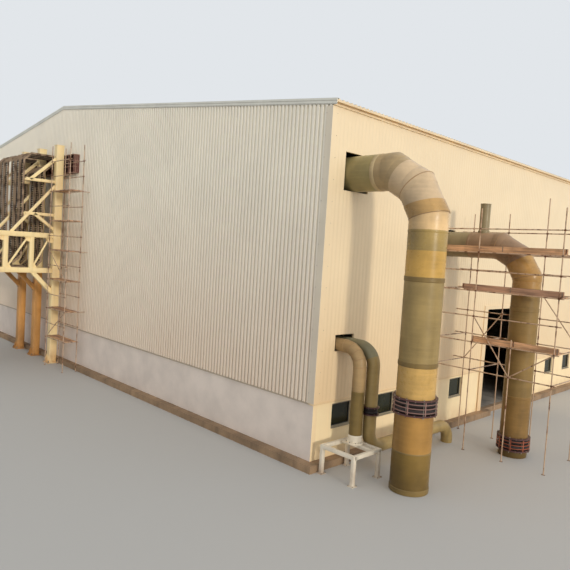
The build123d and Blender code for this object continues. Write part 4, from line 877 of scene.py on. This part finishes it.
def bolt_head(mesh, spot, out, sizes, slot):
    for (height, radius), sides in zip(sizes, (6, 8)):
        mesh.rod(spot, out * height, radius, sides, slot)
        spot = spot + out * height


def bolted_plate(mesh, x, z, width, height, slot=0, thick=0.012):
    face = FRONT - TRUSS_START
    mesh.block(x - width / 2, x + width / 2, face - thick, face, z - height / 2, z + height / 2, slot)
    for sx, sz in CORNERS:
        spot = Vector((x + sx * (width / 2 - 0.022), face - thick, z + sz * (height / 2 - 0.022)))
        bolt_head(mesh, spot, Vector((0, -1, 0)), ((0.012, 0.013), (0.008, 0.008)), 1)


def member(mesh, x, start, end, size, slot=0):
    """A truss member; a sloping one is cut along the column's face."""
    cuts = [(0, 1, 0) if reach == TRUSS_START and start[0] != end[0] else None for reach, _ in (start, end)]
    mesh.strut(at_reach(x, *start), at_reach(x, *end), hollow_section(size), slot, cuts)


def gusset(mesh, x, corners):
    for side in BOTH:
        mesh.prism([at_reach(x + side * 0.025, reach, z) for reach, z in corners], (side * 0.008, 0, 0))


@part("rack_box_columns", ("rack", "rack_amber", "bolt"), "rack_steel", "rack_columns")
def rack_columns(mesh):
    y, ledge = FRONT - RACK_REACH, -PLINTH_Y - 0.2003
    half, base, plate = COLUMN / 2, 0.2, 0.03
    fin = ((half, plate), (base, plate), (base, 2 * plate), (half, 0.29))
    for x in RACK_XS:
        slot, split = (0, 1.0) if x > 0 else (1, TRUSS_LOW)
        for low, high, tone in ((plate, split, slot), (split, RACK_TOP - 0.012, 0)):
            mesh.prism([(x + a, y + b, low) for a, b in hollow_section(COLUMN)], (0, 0, high - low), tone)
        mesh.slab((x, y), half + 0.012, half + 0.012, RACK_TOP - 0.012, RACK_TOP)
        mesh.block(x - base, x + base, y - base, ledge, 0, plate, slot)
        for out, offset in product((Vector((-1, 0, 0)), Vector((1, 0, 0)), Vector((0, -1, 0))), (-0.075, 0.075)):
            along = Vector((abs(out.y), abs(out.x), 0))
            start = Vector((x, y, 0)) + along * (offset - 0.006)
            mesh.prism([start + out * reach + UP * z for reach, z in fin], along * 0.012, slot)
        for sx, bolt_y in product(BOTH, (y - 0.165, ledge - 0.03)):
            bolt_head(mesh, Vector((x + sx * 0.165, bolt_y, plate)), UP, ((0.02, 0.024), (0.035, 0.012)), 2)


def arm(mesh, x, z, inset, brace_z):
    for foot, reach, height in ((z, ARM_REACH, 0.18), (brace_z, ARM_REACH - inset, 0.2)):
        member(mesh, x, (TRUSS_START, foot), (reach, z), ARM)
        bolted_plate(mesh, x, foot, 0.17, height)


@part("rack_hollow_trusses", ("rack", "bolt", "rack_amber"), "rack_steel", "rack_trusses")
def trusses(mesh):
    for x in RACK_XS:
        for z in (TRUSS_LOW, TRUSS_HIGH):
            member(mesh, x, (TRUSS_START, z), (TRUSS_END, z), CHORD)
            bolted_plate(mesh, x, z, 0.235, 0.225, thick=0.014)
        foot, head = TRUSS_LOW + CHORD / 2 - 0.02, TRUSS_HIGH - CHORD / 2 + 0.02
        for inner, reach in zip((TRUSS_START, *TRUSS_POSTS), TRUSS_POSTS):
            post = reach - POST / 2 if reach == TRUSS_END else reach
            member(mesh, x, (post, TRUSS_LOW), (post, TRUSS_HIGH), POST)
            member(mesh, x, (post, TRUSS_LOW), (inner + 0.07, TRUSS_HIGH), DIAGONAL)
            gusset(mesh, x, [(post, foot), (post - 0.2, foot), (post - 0.11, foot + 0.16), (post, foot + 0.2)])
            gusset(mesh, x, [(inner, head), (inner + 0.23, head), (inner + 0.14, head - 0.15), (inner, head - 0.18)])
        amber = 0 if x > 0 else 2
        member(mesh, x, (TRUSS_START, 2.411), (TRUSS_POSTS[0], TRUSS_LOW), KNEE, amber)
        bolted_plate(mesh, x, 2.45, 0.2, 0.3, amber)
        member(mesh, x, (TRUSS_POSTS[1] - 0.1, TRUSS_HIGH), (TRUSS_START, 5.889), STAY)
        bolted_plate(mesh, x, 5.86, 0.15, 0.24)
        arm(mesh, x, LOW_ARM, 0.27, 4.494)


@part("rack_high_brackets", ("rack", "bolt"), "rack_steel", "rack_brackets")
def brackets(mesh):
    for x in RACK_XS:
        arm(mesh, x, HIGH_ARM, 0.11, 6.78)


@part("rack_hollow_cross_beams", ("rack", "bolt"), "rack_steel", "rack_cross_beams")
def cross_beams(mesh):
    rows = [(reach - POST / 2, TRUSS_LOW, CHORD) for reach in TRUSS_POSTS] + [
        (TRUSS_END - POST / 2, TRUSS_HIGH, CHORD)]
    rows += [(reach, z, ARM) for z in (LOW_ARM, HIGH_ARM) for reach in (INNER_BEAM, ARM_REACH - CROSS_BEAM / 2)]
    for (reach, z, carrier), (right, left) in product(rows, zip(RACK_XS, RACK_XS[1:])):
        start, end, y = left + carrier / 2, right - carrier / 2, FRONT - reach
        mesh.strut((start, y, z), (end, y, z), hollow_section(CROSS_BEAM))
        for x, way in ((start, 1), (end, -1)):
            face = x + way * 0.008
            mesh.block(x, face, y - 0.055, y + 0.055, z - 0.055, z + 0.055)
            for sy, sz in CORNERS:
                mesh.rod((face, y + sy * 0.043, z + sz * 0.043), (way * 0.009, 0, 0), 0.009, 6, 1)


def add_ladder(mesh, x, reach, low, high):
    """Channel rails along a mitred path, close rungs and bolted splice plates."""
    c, half = LADDER_CORNER, LADDER_WIDTH / 2
    path = [at_reach(x, r, z) for r, z in ((TRUSS_END, low), (reach + c, low), (reach, low + c), (reach, high - c),
        (reach - c, high), (ENTRY_DEPTH, high))]
    axes = [(b - a).normalized() for a, b in zip(path, path[1:])]
    ups = [Vector((1, 0, 0)).cross(axis) for axis in axes]
    channel = [(0, -0.5), (RAIL_WIDTH, -0.5), (RAIL_WIDTH, -0.45), (0.003, -0.45),
        (0.003, 0.45), (RAIL_WIDTH, 0.45), (RAIL_WIDTH, 0.5), (0, 0.5)]
    for side in BOTH:
        rings = []
        for point, before, after in zip(path, ups[:1] + ups, ups + ups[-1:]):
            across = (before + after).normalized()
            across *= RAIL_DEPTH / across.dot(before)
            rings.append([point + Vector((side * (half - a), 0, 0)) + across * b for a, b in channel])
        mesh.skin(rings, capped=True)
    bar = Vector((half - 0.003, 0, 0))
    for a, b, axis, up in zip(path, path[1:], axes, ups):
        count = max(1, round((b - a).length / RUNG_PITCH))
        for i in range(count):
            spot = a.lerp(b, (i + 0.5) / count) - up * 0.012 - bar
            mesh.prism([spot + axis * u * 0.024 + up * v * 0.004 for u, v in ((-1, -1), (1, -1), (1, 1), (-1, 1))],
                bar * 2, 1)
    for share, side in product((0.3, 0.75), BOTH):
        _, y, z = path[2].lerp(path[3], share)
        face = x + side * (half + 0.003)
        mesh.block(face - side * 0.009, face, y - 0.022, y + 0.022, z - 0.07, z + 0.07)
        for rise in (-0.05, -0.018, 0.018, 0.05):
            mesh.rod((face, y, z + rise), (side * 0.004, 0, 0), 0.006, 6, 2)


@part("rack_cable_ladders", ("ladder", "rung", "bolt"), "galvanised", "cable_ladders")
def ladders(mesh):
    clear = RACK_XS[0] - RACK_XS[1] - COLUMN
    low = TRUSS_LOW + (CROSS_BEAM + RAIL_DEPTH) / 2
    for left, i in product(RACK_XS[1:], range(LADDERS_PER_GAP)):
        x = left + COLUMN / 2 + clear * (i + 0.5) / LADDERS_PER_GAP
        add_ladder(mesh, x, INNER_BEAM + (CROSS_BEAM + RAIL_DEPTH) / 2, low, RACK_TOP - 0.68)
        add_ladder(mesh, x, ARM_REACH + RAIL_DEPTH / 2, low + 3 * RAIL_DEPTH, RACK_TOP - 0.365)


@part("cable_entry_grid", ("entry", "entry_edge"), "entry_steel", "cable_entry_frame")
def entry(mesh):
    x0, x1, z0, z1 = ENTRY
    columns, rows = ENTRY_CELLS
    plate, edge, ends = ENTRY_PLATE, 0.006, ((-1, x0), (1, x1))
    y0, y1 = FRONT - ENTRY_DEPTH, FRONT
    mesh.block(x0, x1, y1 - plate, y1, z0, z1)
    depths = ((y0 + edge, y1 - plate, 0), (y0, y0 + edge, 1))
    for i, (start, end, slot) in product(range(columns + 1), depths):
        x = x0 + i * (x1 - x0 - plate) / columns
        mesh.block(x, x + plate, start, end, z0, z1, slot)
    for j in range(rows + 1):
        z = z0 + j * (z1 - z0 - plate) / rows
        for start, end, slot in depths:
            mesh.block(x0 + plate, x1 - plate, start, end, z, z + plate, slot)
        for side, x in ends:
            mesh.block(x, x + side * 0.004, y0, y1, z, z + plate, 1)
    for (side, x), share in product(ends, (0.3, 0.62)):
        y = y0 + share * ENTRY_DEPTH
        mesh.block(x, x + side * 0.004, y, y + 0.012, z0, z1, 1)


# Scaffolds

def add_coupler(mesh, x, y, z, out):
    for axis in (UP, Vector((1, 0, 0))):
        mesh.rod(Vector((x, y, z)) - axis * 0.019, axis * 0.038, TUBE + 0.006, 8, 1)
    mesh.rod((x + 0.015, y, z + 0.017), (0, out * 0.03, 0), 0.005, 6, 1)


def tube_side(name, xs, y, levels, tops, start, braces, out, rails=()):
    """Standards on base plates, ledgers, rails and braces."""
    mesh = Mesh()
    end = xs[-1] + TUBE_OVERHANG
    for x, top in zip(xs, tops):
        mesh.rod((x, y, 0.006), UP * (top - 0.006), TUBE)
        mesh.slab((x, y), 0.035, 0.02, 0, 0.006, 1)
        mesh.rod((x, y, 0.45 * top - 0.04), UP * 0.08, TUBE + 0.003, 12, 1)
    for z, inset, trim, sides in [(z, 0, 0, 12) for z in levels] + [(z, 0.04, 0.03, 10) for z in rails]:
        mesh.rod((start + inset, y, z), (end - trim - start - inset, 0, 0), TUBE, sides)
        for x, top in zip(xs, tops):
            if z <= top:
                add_coupler(mesh, x, y, z, out)
    for first, low, second, high in braces:
        a, b = Vector((xs[first], y, levels[low])), Vector((xs[second], y, levels[high]))
        mesh.rod(a, b - a, TUBE)
    piece(name + "_tubes", mesh, ("tube", "clamp"), "scaffold_tube", name + "_side")


def add_planks(mesh, x0, x1, y0, z, deck):
    for i in range(3):
        a = x0 + 0.012 * ((i * 5 + deck * 3) % 4)
        b = x1 - 0.012 * ((i * 3 + deck * 7) % 5)
        y = y0 + i * PLANK_PITCH
        mesh.block(a, b, y, y + PLANK_WIDTH, z, z + PLANK - 0.0015, (i + deck) % 2)
        for x in (a + 0.02, b - 0.045):
            mesh.block(x, x + 0.025, y - 0.0008, y + PLANK_WIDTH + 0.0008, z - 0.0008, z + PLANK, 2)


transoms = Mesh()


def transom(x, near, far, z):
    transoms.rod((x, near + TUBE, z), (0, far - near - TUBE, 0), TUBE)


# The scaffold beside the rack
xs, near, far = (0.86, 2.24), FRONT - 0.66, FRONT - 0.23
start, tops = xs[0] - TUBE_OVERHANG, [7.15] * 2
rails = [z + 0.47 for z in RACK_LIFTS[:-1]]
tube_side("rack_scaffold_front", xs, near, RACK_LIFTS, tops, start, [(0, 0, 1, 1), (1, 2, 0, 3)], -1, rails)
tube_side("rack_scaffold_back", xs, far, RACK_LIFTS, tops, start, [], 1, rails)
boards = Mesh()
for i, z in enumerate(RACK_LIFTS[:-1]):
    for x in xs:
        transom(x, near, far - TUBE, z)
        if i % 2 == 1:
            transom(x, far, FRONT, z)
    add_planks(boards, start + 0.074, xs[1] + 0.026, near + 0.052, z + TUBE, i)
look = (("board", "old_board", "hoop"), "scaffold_board")
piece("rack_scaffold_planks", boards, *look, "rack_scaffold_boards")

# The scaffold round the second pipe
xs, near, far = [WALL_X + 0.3 + 0.9 * i for i in range(4)], FRONT + 3.8, FRONT + 5.2
levels = sorted(ACCESS_RAILS + ACCESS_DECKS)
front_tops, back_tops = (5.45, 5.45, 2.65, 5.45), (5.45, 5.45, 5.8, 5.45)
tube_side("access_scaffold_front", xs, near, levels, front_tops, WALL_X, [(1, 2, 2, 0), (2, 0, 3, 1)], -1)
tube_side("access_scaffold_back", xs, far, levels, back_tops, WALL_X, [(0, 0, 1, 2), (2, 3, 3, 1)], 1)
clear = SECOND[2] + 2 * TUBE
for z, (x, top) in product((ACCESS_RAILS[0], *ACCESS_DECKS), zip(xs, front_tops)):
    if abs(x - SECOND[0]) > clear and z < top and (abs(z - SECOND_Z) > clear or x > SECOND[0]):
        transom(x, near, far - TUBE, z)
boards = Mesh()
for i, (deck, start) in enumerate(zip(ACCESS_DECKS, ACCESS_DECK_STARTS)):
    x0, x1, y0, z = WALL_X + start, xs[-1] + 0.078, near + 0.026, deck + TUBE
    add_planks(boards, x0, x1, y0, z, i)
    toe = (z + PLANK, z + PLANK + TOE_BOARD)
    boards.block(x0, x1, y0, y0 + PLANK, *toe, i % 2)
    for x in (x0 + 0.02, (x0 + x1) / 2, x1 - 0.045):
        boards.block(x, x + 0.025, y0 - 0.0008, y0 + PLANK + 0.0008, *toe, 2)
piece("access_scaffold_planks", boards, *look, "access_scaffold_boards")
piece("scaffold_cross_tubes", transoms, ("tube", "clamp"), "scaffold_tube", "scaffold_transoms")


@part("pipe_support_steel", ("white_steel", "bolt"), "white_steel", "pipe_support_frame")
def support_frame(mesh):
    xs, ys = (WALL_X + 0.26, WALL_X + 1.03), (FRONT + 0.06, FRONT + 0.82)
    size, top, plate = 0.075, 0.57, 0.012
    middle, foot = top - size / 2, 0.9 * size
    for x, y in product(xs, ys):
        mesh.prism([(x + a, y + b, plate) for a, b in hollow_section(size)], (0, 0, top - plate - 0.004))
        mesh.slab((x, y), foot, foot, 0, plate)
        for sx, sy in CORNERS:
            mesh.rod((x + sx * 0.054, y + sy * 0.054, plate), UP * 0.014, 0.009, 6, 1)
    for x in xs:
        mesh.strut((x, ys[0], middle), (x, ys[1], middle), hollow_section(size))
    for y in (*ys, FRONT_SMALL[1]):
        mesh.strut((xs[0], y, middle), (xs[1], y, middle), hollow_section(size - 0.002))
    mesh.slab(FRONT_SMALL, 0.175, 0.175, top, top + plate)
